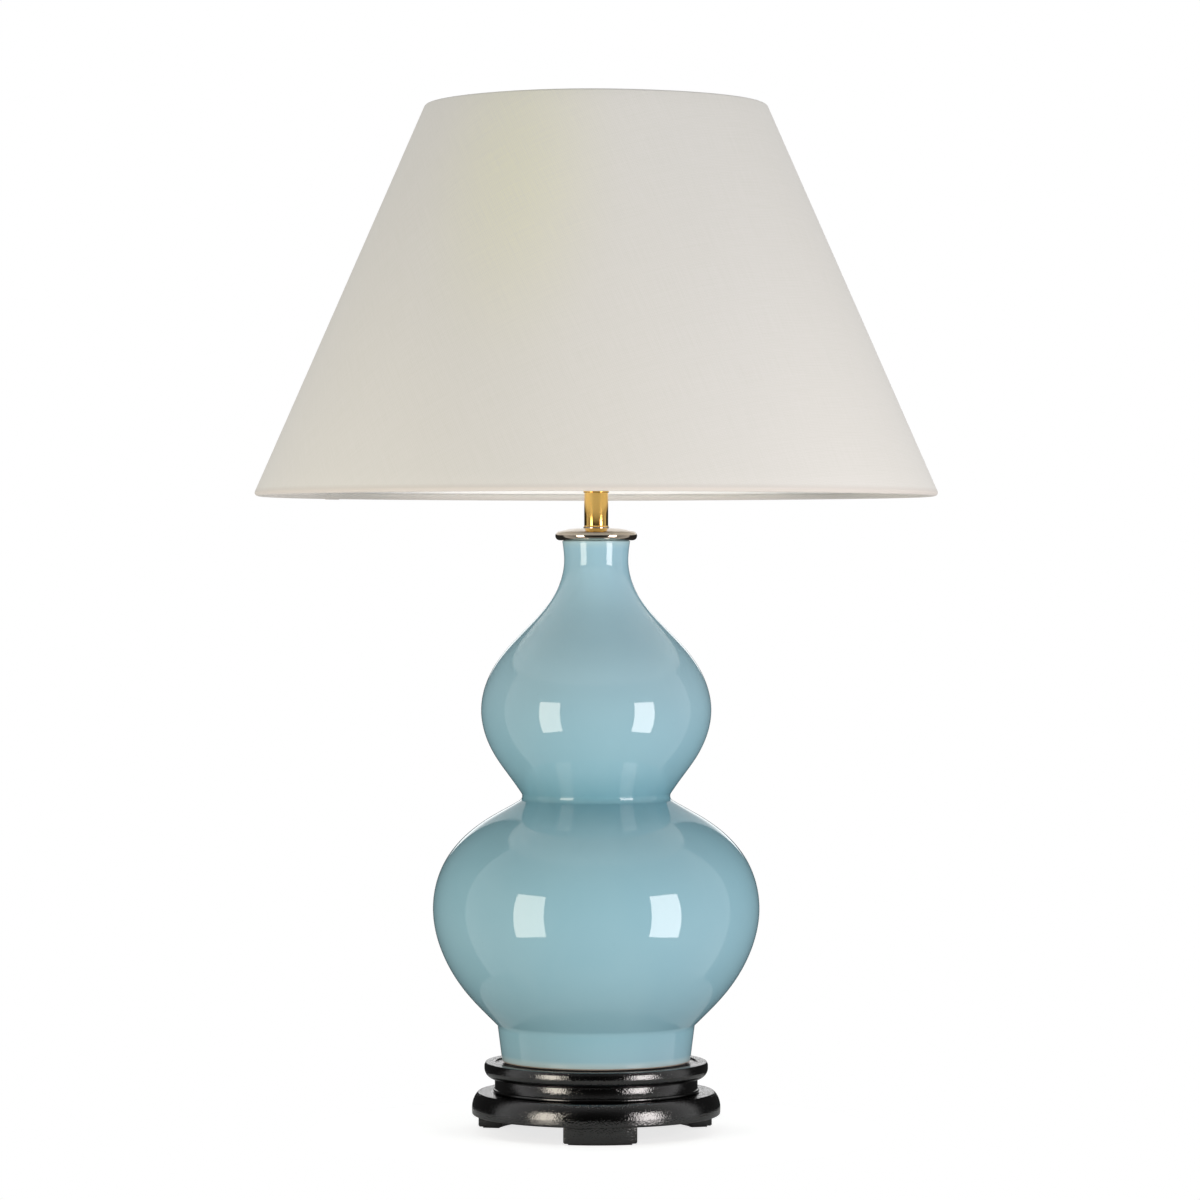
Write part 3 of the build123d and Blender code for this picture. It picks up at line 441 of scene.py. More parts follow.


# ---------------------------------------------------------------- double gourd vase
# Slip-cast stoneware under a thick duck-egg celadon glaze, fired to a wet gloss. The glaze runs
# thin and pale at the lip and the foot, and stops short of the foot rim, which is wiped clean and
# shows the buff clay. In the waist the colour is painted darker, as painted shade in the crease,
# over the glaze's own pooling there.

def curve_through(points, start, end, spans):
    """Points of a smooth curve through the given ones, with its first and last direction."""
    knots = np.array(points, float)
    chords = np.hypot(*np.diff(knots, axis=0).T)
    count = len(knots)
    weights, runs = np.zeros((count, count)), np.zeros((count, 2))
    weights[0, 0] = weights[-1, -1] = 1
    runs[0], runs[-1] = np.array(start) / hypot(*start), np.array(end) / hypot(*end)
    for i in range(1, count - 1):
        before, after = chords[i - 1], chords[i]
        weights[i, i - 1:i + 2] = after, 2 * (before + after), before
        runs[i] = 3 * (after * (knots[i] - knots[i - 1]) / before
                       + before * (knots[i + 1] - knots[i]) / after)
    runs = np.linalg.solve(weights, runs)
    made = [knots[0]]
    for i in range(count - 1):
        for s in np.linspace(0, 1, spans + 1)[1:]:
            made.append((1 + 2 * s) * (1 - s) ** 2 * knots[i]
                        + s * (1 - s) ** 2 * chords[i] * runs[i]
                        + s * s * (3 - 2 * s) * knots[i + 1]
                        + s * s * (s - 1) * chords[i] * runs[i + 1])
    return np.array(made)


def inwards(line, wall):
    """The points of a line moved square to it, into the clay."""
    run = np.gradient(line, axis=0)
    run /= np.hypot(run[:, 0], run[:, 1])[:, None]
    return line + wall * np.stack((-run[:, 1], run[:, 0]), axis=1)


belly = [(71.9, 77.5), (94.886, 101.524), (112.398, 130.756), (119.1, 163.516),
         (109.927, 197.788), (80.728, 227.02), (60.185, 238.78), (56.04, 241.18)]
upper = [(54.76, 246.92), (59.102, 253.209), (75.386, 276.677), (84.0, 308.025),
         (73.395, 340.914), (48.004, 370.035), (29.399, 393.503), (23.4, 416.8)]
belly_line = curve_through(belly, (1, 1), (-0.866, 0.5), 14)
crease = 1000 * np.array(arc_points((58.04, 244.64), 4.0, 4.0, 240, 145, 14))
upper_line = curve_through(upper, (0.57, 0.82), (0, 1), 14)
lip_line = curve_through([(23.4, 416.8), (24.6, 429.6)], (0, 1), (0.15, 1), 8)
outside = np.vstack([belly_line, crease[1:-1], upper_line, lip_line[1:]])
# The inside of the walls only shows where the lamp is taken apart.
inside = inwards(np.vstack([belly_line, crease[1:-1], upper_line])[:-14], 5.0)[::-3]
vase_section = (
    rounded([(60.6, 55.5, 0), (60.6, 51.5, 0.6), (68.6, 51.5, 0.8), (71.6, 75.0, 0)],
            closed=False)
    + [tuple(p / 1000) for p in outside]
    + arc_points((23.6, 429.8), 1.2, 1.2, 5, 175, 8)
    + rounded([(19.8, 429.0, 0), (19.4, 405.0, 0)], closed=False)
    + [tuple(p / 1000) for p in inside if p[1] < 400]
    + rounded([(63.4, 66.0, 0), (62.0, 62.5, 2.0), (5.5, 62.5, 0.2), (5.5, 55.5, 0.2),
               (60.6, 55.5, 0)], closed=False)
)

glaze, tree, shader = new_finish("duck_egg_celadon_glaze", {"Roughness": 0.03, "IOR": 1.6})
place = add_node(tree, "ShaderNodeTexCoord", {})
height = add_node(tree, "ShaderNodeSeparateXYZ", {"Vector": place.outputs["Object"]})
# The glaze's colour in bands up the vase: thin and pale at the foot and lip, thicker in the hollow
# over the foot, and in the waist painted darker as shade in the crease, over the glaze pooling
# there.
depth = add_node(tree, "ShaderNodeMapRange", {
    "Value": height.outputs["Z"], "From Min": 0.0515, "From Max": 0.431})
glaze_and_waist_shade = add_node(tree, "ShaderNodeValToRGB", {"Fac": depth.outputs[0]})
# The darkest stop, at 0.51, sits on the waist's crease and is painted shade.
bands = [(0.0, "#C3D4D5"), (0.008, "#ACC5CA"), (0.016, "#8FB5C2"), (0.07, "#87B1BE"),
         (0.25, "#8AB2BF"), (0.46, "#84AEBB"), (0.51, "#6E9EAC"), (0.56, "#84AEBB"),
         (0.72, "#91B4C1"), (0.985, "#91B6C5"), (1.0, "#A7C3C9")]
stops = glaze_and_waist_shade.color_ramp.elements
stops[0].position, stops[0].color = bands[0][0], colour(bands[0][1])
stops[1].position, stops[1].color = bands[-1][0], colour(bands[-1][1])
for at, code in bands[1:-1]:
    stop = stops.new(at)
    stop.color = colour(code)
# Broad clouds about 60 mm across, and specks of iron 0.6 mm wide in the clay under the glaze.
clouds = add_node(tree, "ShaderNodeTexNoise", {
    "Vector": place.outputs["Object"], "Scale": 1 / 0.06, "Detail": 3.0, "Distortion": 0.4})
cloudy = add_node(tree, "ShaderNodeMapRange", {
    "Value": clouds.outputs["Fac"], "From Min": 0.3, "From Max": 0.7, "To Min": 0.0,
    "To Max": 0.22})
veiled = add_node(tree, "ShaderNodeMix", {
    0: cloudy.outputs[0], 6: glaze_and_waist_shade.outputs[0], 7: colour("#9CBFC8")}, data_type="RGBA")
specks = add_node(tree, "ShaderNodeTexVoronoi", {
    "Vector": place.outputs["Object"], "Scale": 1 / 0.009, "Randomness": 1.0}, feature="F1")
speck = add_node(tree, "ShaderNodeMapRange", {
    "Value": specks.outputs["Distance"], "From Min": 0.02, "From Max": 0.05, "To Min": 0.25,
    "To Max": 0.0})
speckled = add_node(tree, "ShaderNodeMix", {
    0: speck.outputs[0], 6: veiled.outputs[2], 7: colour("#5F7D83")}, data_type="RGBA")
ripple = add_node(tree, "ShaderNodeTexNoise", {
    "Vector": place.outputs["Object"], "Scale": 1 / 0.035, "Detail": 1.0})
melt = add_node(tree, "ShaderNodeBump", {
    "Height": ripple.outputs["Fac"], "Strength": 0.35, "Distance": 0.0004})
tree.links.new(speckled.outputs[2], shader.inputs["Base Color"])
tree.links.new(melt.outputs["Normal"], shader.inputs["Normal"])

# Bare clay is dry and gritty. Its grains of grog are up to 0.5 mm wide.
clay = grained_finish("bare_buff_stoneware", {"Roughness": 0.85}, grain=0.0005, detail=2.0,
                      dark="#8A7C70", light="#BDB1A4", relief=(0.5, 0.0001))

vase = turned("gourd_vase", vase_section, glaze, steps=256)
vase.data.materials.append(clay)
wiped_rim, hollow_foot, hollow_high = 0.0524, 0.0615, 0.056
for face in vase.data.polygons:
    under = hypot(face.center.x, face.center.y) < hollow_foot and face.center.z < hollow_high
    if face.center.z < wiped_rim or under:
        face.material_index = 1
takes_place(vase, "vase", "base")


# ---------------------------------------------------------------- gasket, cap and stem
# The brass cap is spun from sheet with a rolled bead, and sits on a rubber ring on the vase's
# mouth. The stem is drawn brass tube. Both are polished and clear-lacquered, with the fine
# rings that the polishing mop leaves, and the cap is a paler alloy.

# Rubber is a dull black, greyed by bloom in blotches 4 mm across.
rubber = grained_finish("moulded_black_rubber", {"Roughness": 0.6}, grain=0.004, detail=3.0,
                        dark="#121212", light="#232323")
gasket_section = rounded([(21.0, 431.0, 0.15), (23.6, 431.0, 0.2), (23.6, 431.6, 0.2),
                          (21.0, 431.6, 0.15)])
takes_place(turned("rubber_gasket", gasket_section, rubber, steps=96),
            "cap_gasket", "base")


def brass_finish(name, light, dark, roughness, ring_size, ring_depth, taper=0.0):
    """Brass worked on a lathe, with stains 8 mm across and fine rings round the Z axis.

    The rings' width and depth are in metres. The taper is a lean of the polished face, too
    slight to measure, that turns what it mirrors.
    """
    finish, tree, shader = new_finish(name, {"Metallic": 1.0})
    place = add_node(tree, "ShaderNodeTexCoord", {})
    parts = add_node(tree, "ShaderNodeSeparateXYZ", {"Vector": place.outputs["Object"]})
    flat = add_node(tree, "ShaderNodeCombineXYZ", {
        "X": parts.outputs["X"], "Y": parts.outputs["Y"]})
    radius = add_node(tree, "ShaderNodeVectorMath", {0: flat.outputs[0]}, operation="LENGTH")
    section = add_node(tree, "ShaderNodeCombineXYZ", {
        "X": radius.outputs["Value"], "Z": parts.outputs["Z"]})
    rings = add_node(tree, "ShaderNodeTexNoise", {
        "Vector": section.outputs[0], "Scale": 1 / ring_size, "Detail": 2.0})
    stain = add_node(tree, "ShaderNodeTexNoise", {
        "Vector": place.outputs["Object"], "Scale": 1 / 0.008, "Detail": 4.0})
    tone = add_node(tree, "ShaderNodeMix", {
        0: stain.outputs["Fac"], 6: colour(light), 7: colour(dark)}, data_type="RGBA")
    dull = add_node(tree, "ShaderNodeMapRange", {
        "Value": stain.outputs["Fac"], "From Min": 0.3, "From Max": 0.7,
        "To Min": roughness * 0.8, "To Max": roughness * 1.3})
    lean = add_node(tree, "ShaderNodeMath", {0: parts.outputs["Z"], 1: -taper},
                    operation="MULTIPLY")
    leaning = add_node(tree, "ShaderNodeBump", {
        "Height": lean.outputs[0], "Strength": 1.0, "Distance": 1.0})
    lines = add_node(tree, "ShaderNodeBump", {
        "Height": rings.outputs["Fac"], "Strength": 0.4, "Distance": ring_depth,
        "Normal": leaning.outputs["Normal"]})
    tree.links.new(tone.outputs[2], shader.inputs["Base Color"])
    tree.links.new(dull.outputs[0], shader.inputs["Roughness"])
    tree.links.new(lines.outputs["Normal"], shader.inputs["Normal"])
    return finish


cap_brass = brass_finish("spun_pale_brass", "#D0C3B4", "#C2B4A0", roughness=0.09,
                         ring_size=0.0003, ring_depth=0.000008)
tube_brass = brass_finish("drawn_polished_brass", "#FFD27C", "#F2BE66", roughness=0.08,
                          ring_size=0.0003, ring_depth=0.000003, taper=0.034)

dome_line = curve_through([(9.36, 440.0), (26.6, 437.7)], (1, 0), (1, -0.3), 10)
cap_section = (
    [tuple(p / 1000) for p in dome_line]
    + arc_points((26.6, 434.4), 3.3, 3.3, 86, -90, 22)
    + rounded([(26.6, 431.15, 0), (26.6, 431.6, 0.05), (18.6, 431.6, 0.2), (18.6, 426.6, 0.4),
               (17.0, 426.6, 0.4), (17.0, 436.1, 0.6), (9.36, 438.4, 0.2), (5.5, 438.4, 0.2),
               (5.5, 440.8, 0.2), (9.36, 440.8, 0.25), (9.36, 440.05, 0)], closed=False)
)
takes_place(turned("brass_cap", cap_section, cap_brass, steps=160),
            "vase_cap", "base")

# The foot of the stem is upset into a small flange.
stem_section = rounded([(7.76, 440.8, 0.1), (9.1, 440.8, 0.2), (9.1, 441.4, 0.25),
                        (8.76, 441.6, 0.2), (8.76, 466.0, 0.1), (7.76, 466.0, 0.1)])
takes_place(turned("stem", stem_section, tube_brass), "stem_tube", "base")

collar_section = rounded([(5.5, 466.0, 0.1), (9.4, 466.0, 0.35), (9.4, 467.2, 0.35),
                          (5.5, 467.2, 0.1)])
takes_place(turned("stem_top_collar", collar_section, tube_brass),
            "stem_collar", "base")


# ---------------------------------------------------------------- tie rod, nuts, washers and bush
# A hollow rod, threaded at both ends, pulls the whole lamp together between a nut in the well
# of the stand and a nut on the cap. Rod, nuts and washers are zinc-plated steel; the moulded
# nylon bush keeps the flex off the rod's cut end.

# Zinc plate is a cool satin grey, clouded by crystals about 3 mm wide.
zinc = grained_finish("zinc_plated_steel", {"Metallic": 1.0}, grain=0.003, detail=5.0,
                      dark="#A9ABA8", light="#C9CACB", gloss=(0.22, 0.42), Roughness=0.6)


def threaded_row(radius, low, high, spacing):
    """Points up a straight side, close enough together to carry a thread."""
    count = int((high - low) / spacing) + 2
    return [(radius, z) for z in np.linspace(low, high, count)]


rod_section = (
    [(0.0038, 0.0153), (0.0040, 0.0151), (0.0048, 0.0151)]
    + threaded_row(0.0050, 0.0153, 0.0353, 0.00017)
    + threaded_row(0.0050, 0.4383, 0.4750, 0.00017)
    + [(0.0048, 0.4752), (0.0040, 0.4752), (0.0038, 0.4750)]
)
takes_place(turned("hollow_rod", rod_section, zinc, steps=48, thread_depth=0.0004,
                   thread_pitch=0.001, thread_low=0.0150, thread_high=0.4753),
            "tie_rod", "base")


def hex_nut(name, node, across_flats, low, high):
    """A nut: its six sides meet a cone turned on each end, which leaves the usual arcs."""
    steps, edge, bore = 120, 0.0006, 0.0051
    eased_out, eased_in = 0.0003, 0.0002
    reach = across_flats / 2
    cone_foot, cone_slope = 0.97 * reach + 0.0001, 1.73
    heights = [low + edge * s for s in np.linspace(0, 1, 5)]
    heights += [high - edge * s for s in np.linspace(1, 0, 5)]
    verts, faces = [], []
    for i in range(steps):
        turn = 2 * pi * i / steps
        side = reach / cos(turn % (pi / 3) - pi / 6)
        row = [(bore, low + eased_in), (bore + eased_out, low)]
        row += [(min(side, cone_foot + min(z - low, high - z) * cone_slope), z) for z in heights]
        row += [(bore + eased_out, high), (bore, high - eased_in)]
        verts += [(r * cos(turn), r * sin(turn), z) for r, z in row]
    per = len(verts) // steps
    for i in range(steps):
        for j in range(per):
            a, b = i * per + j, i * per + (j + 1) % per
            c, d = (i + 1) % steps * per + (j + 1) % per, (i + 1) % steps * per + j
            faces.append((a, d, c, b))
    shape = bpy.data.meshes.new(name)
    shape.from_pydata(verts, [], faces)
    turn_outwards(shape)
    shape.materials.append(zinc)
    takes_place(in_scene(name, shape), node, "base")


hex_nut("well_nut", "bottom_nut", across_flats=0.017, low=0.0166, high=0.0216)
hex_nut("nut_on_cap", "cap_nut", across_flats=0.013, low=0.4420, high=0.4460)
well_washer = rounded([(5.5, 21.6, 0.1), (12.5, 21.6, 0.3), (12.5, 22.8, 0.15), (5.5, 22.8, 0.1)])
takes_place(turned("well_washer", well_washer, zinc, steps=96),
            "bottom_washer", "base")
top_washer = rounded([(5.5, 440.8, 0.1), (7.2, 440.8, 0.15), (7.2, 442.0, 0.3),
                      (5.5, 442.0, 0.1)])
takes_place(turned("washer_on_cap", top_washer, zinc, steps=96),
            "cap_washer", "base")

# Nylon takes the fine matt spark texture of its mould, 0.4 mm from pit to pit.
nylon = grained_finish("moulded_black_nylon", {"Roughness": 0.42}, grain=0.0004, detail=2.0,
                       dark="#0F0F10", light="#1B1B1D", relief=(0.3, 0.00004))
bush_section = rounded([(3.2, 13.6, 0.6), (6.5, 13.6, 0.5), (6.5, 15.1, 0.3), (3.7, 15.1, 0.1),
                        (3.7, 25.6, 0.2), (3.2, 25.6, 0.1)])
takes_place(turned("flex_bush", bush_section, nylon, steps=96),
            "rod_end_bush", "base")


# ---------------------------------------------------------------- lampholder
# A cast brass cap screwed to the rod, a threaded skirt, and white porcelain that holds the
# terminals, the contact and the screw shell. The block's screws clamp the flex's cores.

# The turned brass is yellow and softly bright. The stamped brass is never polished, and is dull.
holder_brass = brass_finish("turned_holder_brass", "#D9B768", "#CBA452", roughness=0.16,
                            ring_size=0.0004, ring_depth=0.00001)
bare_brass = brass_finish("stamped_bare_brass", "#C4A45A", "#A98843", roughness=0.28,
                          ring_size=0.0006, ring_depth=0.00001)


def wear_finish(name, finish):
    """Gives a CAD node its finish, and leaves its shape as it is."""
    nodes[name].data.materials.clear()
    nodes[name].data.materials.append(finish)


wear_finish("holder_cap", holder_brass)
skirt_section = (
    rounded([(17.5, 498.2, 0.1), (17.5, 491.2, 0.1), (18.4, 491.2, 0.1), (18.4, 497.2, 0),
             (24.0, 497.2, 0.25), (24.0, 499.2, 0.4), (20.0, 499.2, 0)], closed=False)
    + threaded_row(0.0200, 0.4994, 0.5230, 0.00025)
    + rounded([(19.8, 523.2, 0), (14.0, 523.2, 0.2), (14.0, 522.2, 0.1), (18.8, 522.2, 0),
               (18.8, 498.2, 0.1)], closed=False)
)
takes_place(turned("threaded_skirt", skirt_section, holder_brass, thread_depth=0.0006,
                   thread_pitch=0.0025, thread_low=0.5000, thread_high=0.5228),
            "holder_skirt", "base")

# Porcelain is a warm white under a thin glaze, clouded in patches of 5 mm.
porcelain = grained_finish("white_porcelain", {
    "Roughness": 0.35, "Coat Weight": 0.4, "Coat Roughness": 0.1}, grain=0.005, detail=3.0,
    dark="#E4DFD3", light="#F0EDE5")
wear_finish("holder_terminal_block", porcelain)
wear_finish("holder_sleeve", porcelain)
wear_finish("centre_contact", bare_brass)


def screw_nodes():
    """Nodes that set slotted screws at the points of a shape, each turned by its point's tilt.

    Each head is a short cylinder with a slot, and its shank runs down from the point.
    """
    tree, into = begin_maker("slotted_screws", {
        "Head Radius": 0.0025, "Head Height": 0.002, "Shank Radius": 0.0015,
        "Shank Length": 0.004, "Slot Width": 0.0008})
    head = add_node(tree, "GeometryNodeMeshCylinder", {
        "Vertices": 40, "Radius": into["Head Radius"], "Depth": into["Head Height"]})
    half_head = add_node(tree, "ShaderNodeMath", {0: into["Head Height"], 1: 0.5},
                         operation="MULTIPLY")
    head_up = add_node(tree, "ShaderNodeCombineXYZ", {"Z": half_head.outputs[0]})
    head_set = add_node(tree, "GeometryNodeTransform", {
        "Geometry": head.outputs["Mesh"], "Translation": head_up.outputs[0]})
    long_slot = add_node(tree, "ShaderNodeMath", {0: into["Head Radius"], 1: 3.0},
                         operation="MULTIPLY")
    slot_size = add_node(tree, "ShaderNodeCombineXYZ", {
        "X": long_slot.outputs[0], "Y": into["Slot Width"], "Z": into["Head Height"]})
    cutter = add_node(tree, "GeometryNodeMeshCube", {"Size": slot_size.outputs[0]})
    slot_up = add_node(tree, "ShaderNodeCombineXYZ", {"Z": into["Head Height"]})
    slot_set = add_node(tree, "GeometryNodeTransform", {
        "Geometry": cutter.outputs["Mesh"], "Translation": slot_up.outputs[0]})
    slotted = add_node(tree, "GeometryNodeMeshBoolean", {
        "Mesh 1": head_set.outputs[0], "Mesh 2": slot_set.outputs[0]},
        operation="DIFFERENCE", solver="EXACT")
    shank = add_node(tree, "GeometryNodeMeshCylinder", {
        "Vertices": 32, "Radius": into["Shank Radius"], "Depth": into["Shank Length"]})
    half_shank = add_node(tree, "ShaderNodeMath", {0: into["Shank Length"], 1: -0.5},
                          operation="MULTIPLY")
    shank_down = add_node(tree, "ShaderNodeCombineXYZ", {"Z": half_shank.outputs[0]})
    shank_set = add_node(tree, "GeometryNodeTransform", {
        "Geometry": shank.outputs["Mesh"], "Translation": shank_down.outputs[0]})
    screw = tree.nodes.new("GeometryNodeJoinGeometry")
    tree.links.new(slotted.outputs["Mesh"], screw.inputs[0])
    tree.links.new(shank_set.outputs[0], screw.inputs[0])
    tilt = add_node(tree, "GeometryNodeInputNamedAttribute", {"Name": "tilt"},
                    data_type="FLOAT_VECTOR")
    spread = add_node(tree, "GeometryNodeInstanceOnPoints", {
        "Points": into["Geometry"], "Instance": screw.outputs[0],
        "Rotation": tilt.outputs["Attribute"]})
    return end_maker(tree, spread.outputs[0], into["Finish"])


screws = screw_nodes()


def slotted_screws(name, node, places, tilts, finish, slot, **sizes):
    """Screws whose heads sit at the given places, turned by the given tilts."""
    shape = bpy.data.meshes.new(name)
    shape.from_pydata(places, [], [])
    turns = shape.attributes.new("tilt", "FLOAT_VECTOR", "POINT")
    turns.data.foreach_set("vector", np.array(tilts, np.float32).ravel())
    piece = made_by(name, screws, shape, {"Finish": finish, **by_label(sizes)})
    takes_place(piece, node, "base")


terminal_turns = [radians(90), radians(210), radians(330)]
slotted_screws("cable_screws", "terminal_screws",
               [(0.0115 * cos(a), 0.0115 * sin(a), 0.4832) for a in terminal_turns],
               [(pi, 0, a + 0.4) for a in terminal_turns], bare_brass, "plain_brass",
               head_radius=0.0026, head_height=0.002, shank_radius=0.0015,
               shank_length=0.004, slot_width=0.0008)
slotted_screws("contact_fixing", "contact_screw", [(-0.0078, 0, 0.4990)], [(0, 0, 0.7)],
               bare_brass, "plain_brass", head_radius=0.0022, head_height=0.0014,
               shank_radius=0.0012, shank_length=0.005, slot_width=0.0006)
slotted_screws("locking_screw", "holder_lock_screw", [(0, 0.0076, 0.4697)], [(-pi / 2, 0.5, 0)],
               zinc, "zinc_steel", head_radius=0.0015, head_height=0.001,
               shank_radius=0.0015, shank_length=0.0025, slot_width=0.0005)

# The shell's rolled screw thread matches the bulb's, 3.629 mm from turn to turn.
bulb_pitch = 0.003629
shell_section = (
    threaded_row(0.0134, 0.4984, 0.5205, 0.0003)
    + [(0.0136, 0.5207), (0.0138, 0.5207)]
    + threaded_row(0.0140, 0.4984, 0.5205, 0.0003)[::-1]
    + [(0.0138, 0.4982), (0.0136, 0.4982)]
)
takes_place(turned("rolled_shell", shell_section, bare_brass, steps=96, thread_depth=0.0009,
                   thread_pitch=bulb_pitch, thread_low=0.5010, thread_high=0.5200),
            "screw_shell", "base")


# ---------------------------------------------------------------- switch bar
# A turned brass bar pushed through the cap from side to side, with domed ends worn bright.
wear_finish("switch_bar", holder_brass)


# ---------------------------------------------------------------- shade ring and shade carrier
# The fluted brass ring clamps the carrier's collar to the holder. The carrier is brass-plated
# steel: a stamped collar, four bent wires and a flat seat, joined with small spot welds.
wear_finish("shade_ring", holder_brass)

# Brass plate is thin: it shines unevenly and browns in blotches of 6 mm.
plated = grained_finish("brass_plated_steel", {"Metallic": 1.0}, grain=0.006, detail=4.0,
                        dark="#C0A060", light="#A88848", gloss=(0.2, 0.36))
for name in ("carrier_collar", "carrier_wires", "carrier_seat_ring"):
    wear_finish(name, plated)


def weld_nodes():
    """Nodes that set a flattened bead of weld at each point of a shape."""
    tree, into = begin_maker("weld_beads", {"Bead Radius": 0.002, "Bead Height": 0.001})
    ball = add_node(tree, "GeometryNodeMeshIcoSphere", {"Radius": 1.0, "Subdivisions": 3})
    size = add_node(tree, "ShaderNodeCombineXYZ", {
        "X": into["Bead Radius"], "Y": into["Bead Radius"], "Z": into["Bead Height"]})
    bead = add_node(tree, "GeometryNodeTransform", {
        "Geometry": ball.outputs["Mesh"], "Scale": size.outputs[0]})
    smooth = add_node(tree, "GeometryNodeSetShadeSmooth", {"Geometry": bead.outputs[0]})
    spread = add_node(tree, "GeometryNodeInstanceOnPoints", {
        "Points": into["Geometry"], "Instance": smooth.outputs[0]})
    return end_maker(tree, spread.outputs[0], into["Finish"])


welds = weld_nodes()


def weld_beads(name, places, finish, body, slot, **sizes):
    """Beads of weld at the given places, which ride on a body and stand for no CAD node."""
    shape = bpy.data.meshes.new(name)
    shape.from_pydata(places, [], [])
    piece = made_by(name, welds, shape, {"Finish": finish, **by_label(sizes)})
    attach(piece, body)


wire_turns = [radians(45 + 90 * i) for i in range(4)]
weld_beads("carrier_spot_welds",
           [(0.0291 * cos(a), 0.0291 * sin(a), 0.5009) for a in wire_turns]
           + [(0.04825 * cos(a), 0.04825 * sin(a), 0.7138) for a in wire_turns],
           plated, "carrier", "brassed_steel", bead_radius=0.0023, bead_height=0.0009)


# ---------------------------------------------------------------- shade frame
# White epoxy-coated steel: a pressed fitter ring, three arms up to the top wire, and the two
# wires that the cover is rolled over. The coating is slightly textured and fills the welds.

# Baked powder melts into a soft white skin with a grain of 0.7 mm.
epoxy = grained_finish("white_epoxy_coating", {"Roughness": 0.4}, grain=0.0007, detail=2.0,
                       dark="#E3E2DE", light="#EEEDEA", relief=(0.25, 0.00005))
for name in ("shade_fitter_ring", "spider_arms", "shade_top_ring", "shade_bottom_ring"):
    wear_finish(name, epoxy)
arm_turns = [radians(90), radians(210), radians(330)]
weld_beads("fitter_welds", [(0.0547 * cos(a), 0.0547 * sin(a), 0.7127) for a in arm_turns],
           epoxy, "shade", "white_enamel", bead_radius=0.0016, bead_height=0.0016)


# ---------------------------------------------------------------- shade cover and lining
# An off-white plain-woven cloth, ironed on to white styrene sheet, rolled into a cone and lapped
# at one seam. Its edges are turned over the wires and glued down inside as narrow hems, which
# are snipped where the arms pass.

# The middle of each wire in section, and the cone that is drawn through both.
low_wire, high_wire = np.array((0.2462, 0.46565)), np.array((0.1234, 0.74575))
inward, upward = low_wire[0] - high_wire[0], high_wire[1] - low_wire[1]
lean, slant = atan2(inward, upward), hypot(inward, upward)
apex = low_wire[0] / sin(lean)
# The lap is 12 mm wide halfway up the shade, and each arm passes a slot 3.6 mm wide.
seam_turn, lap_turn, arm_half = radians(141), 0.012 / 0.2, 0.0018 / high_wire[0]


def tilted(line):
    """Section points from (outwards, along) the line that joins the two wires."""
    tilt = np.array([[cos(lean), -sin(lean)], [sin(lean), cos(lean)]])
    return line @ tilt.T + low_wire


def cloth_rim(roll, hem, count=22):
    """A roll round a wire and the hem it ends in, as (outwards, along), out to the hem's edge."""
    hem_inside = 0.0017
    tail = np.array((roll - hem_inside, hem))
    leave = atan2(tail[1], tail[0]) + acos(roll / hypot(*tail))
    curl = [(roll * cos(t), roll * sin(t)) for t in np.linspace(0, leave - 2 * pi, count)]
    away = tail - curl[-1]
    steps = int(hypot(*away) / 0.0005) + 1
    return curl + [tuple(curl[-1] + away * s / steps) for s in range(1, steps + 1)]


def cloth_line(roll, hem, spacing):
    """The middle line of the cover's cloth in section, from hem to hem."""
    low = cloth_rim(roll, hem)[::-1]
    high = [(o, slant - a) for o, a in cloth_rim(roll, hem)]
    rise = int(slant / spacing)
    side = [(roll, slant * i / rise) for i in range(1, rise)]
    return tilted(np.array(low + side + high))


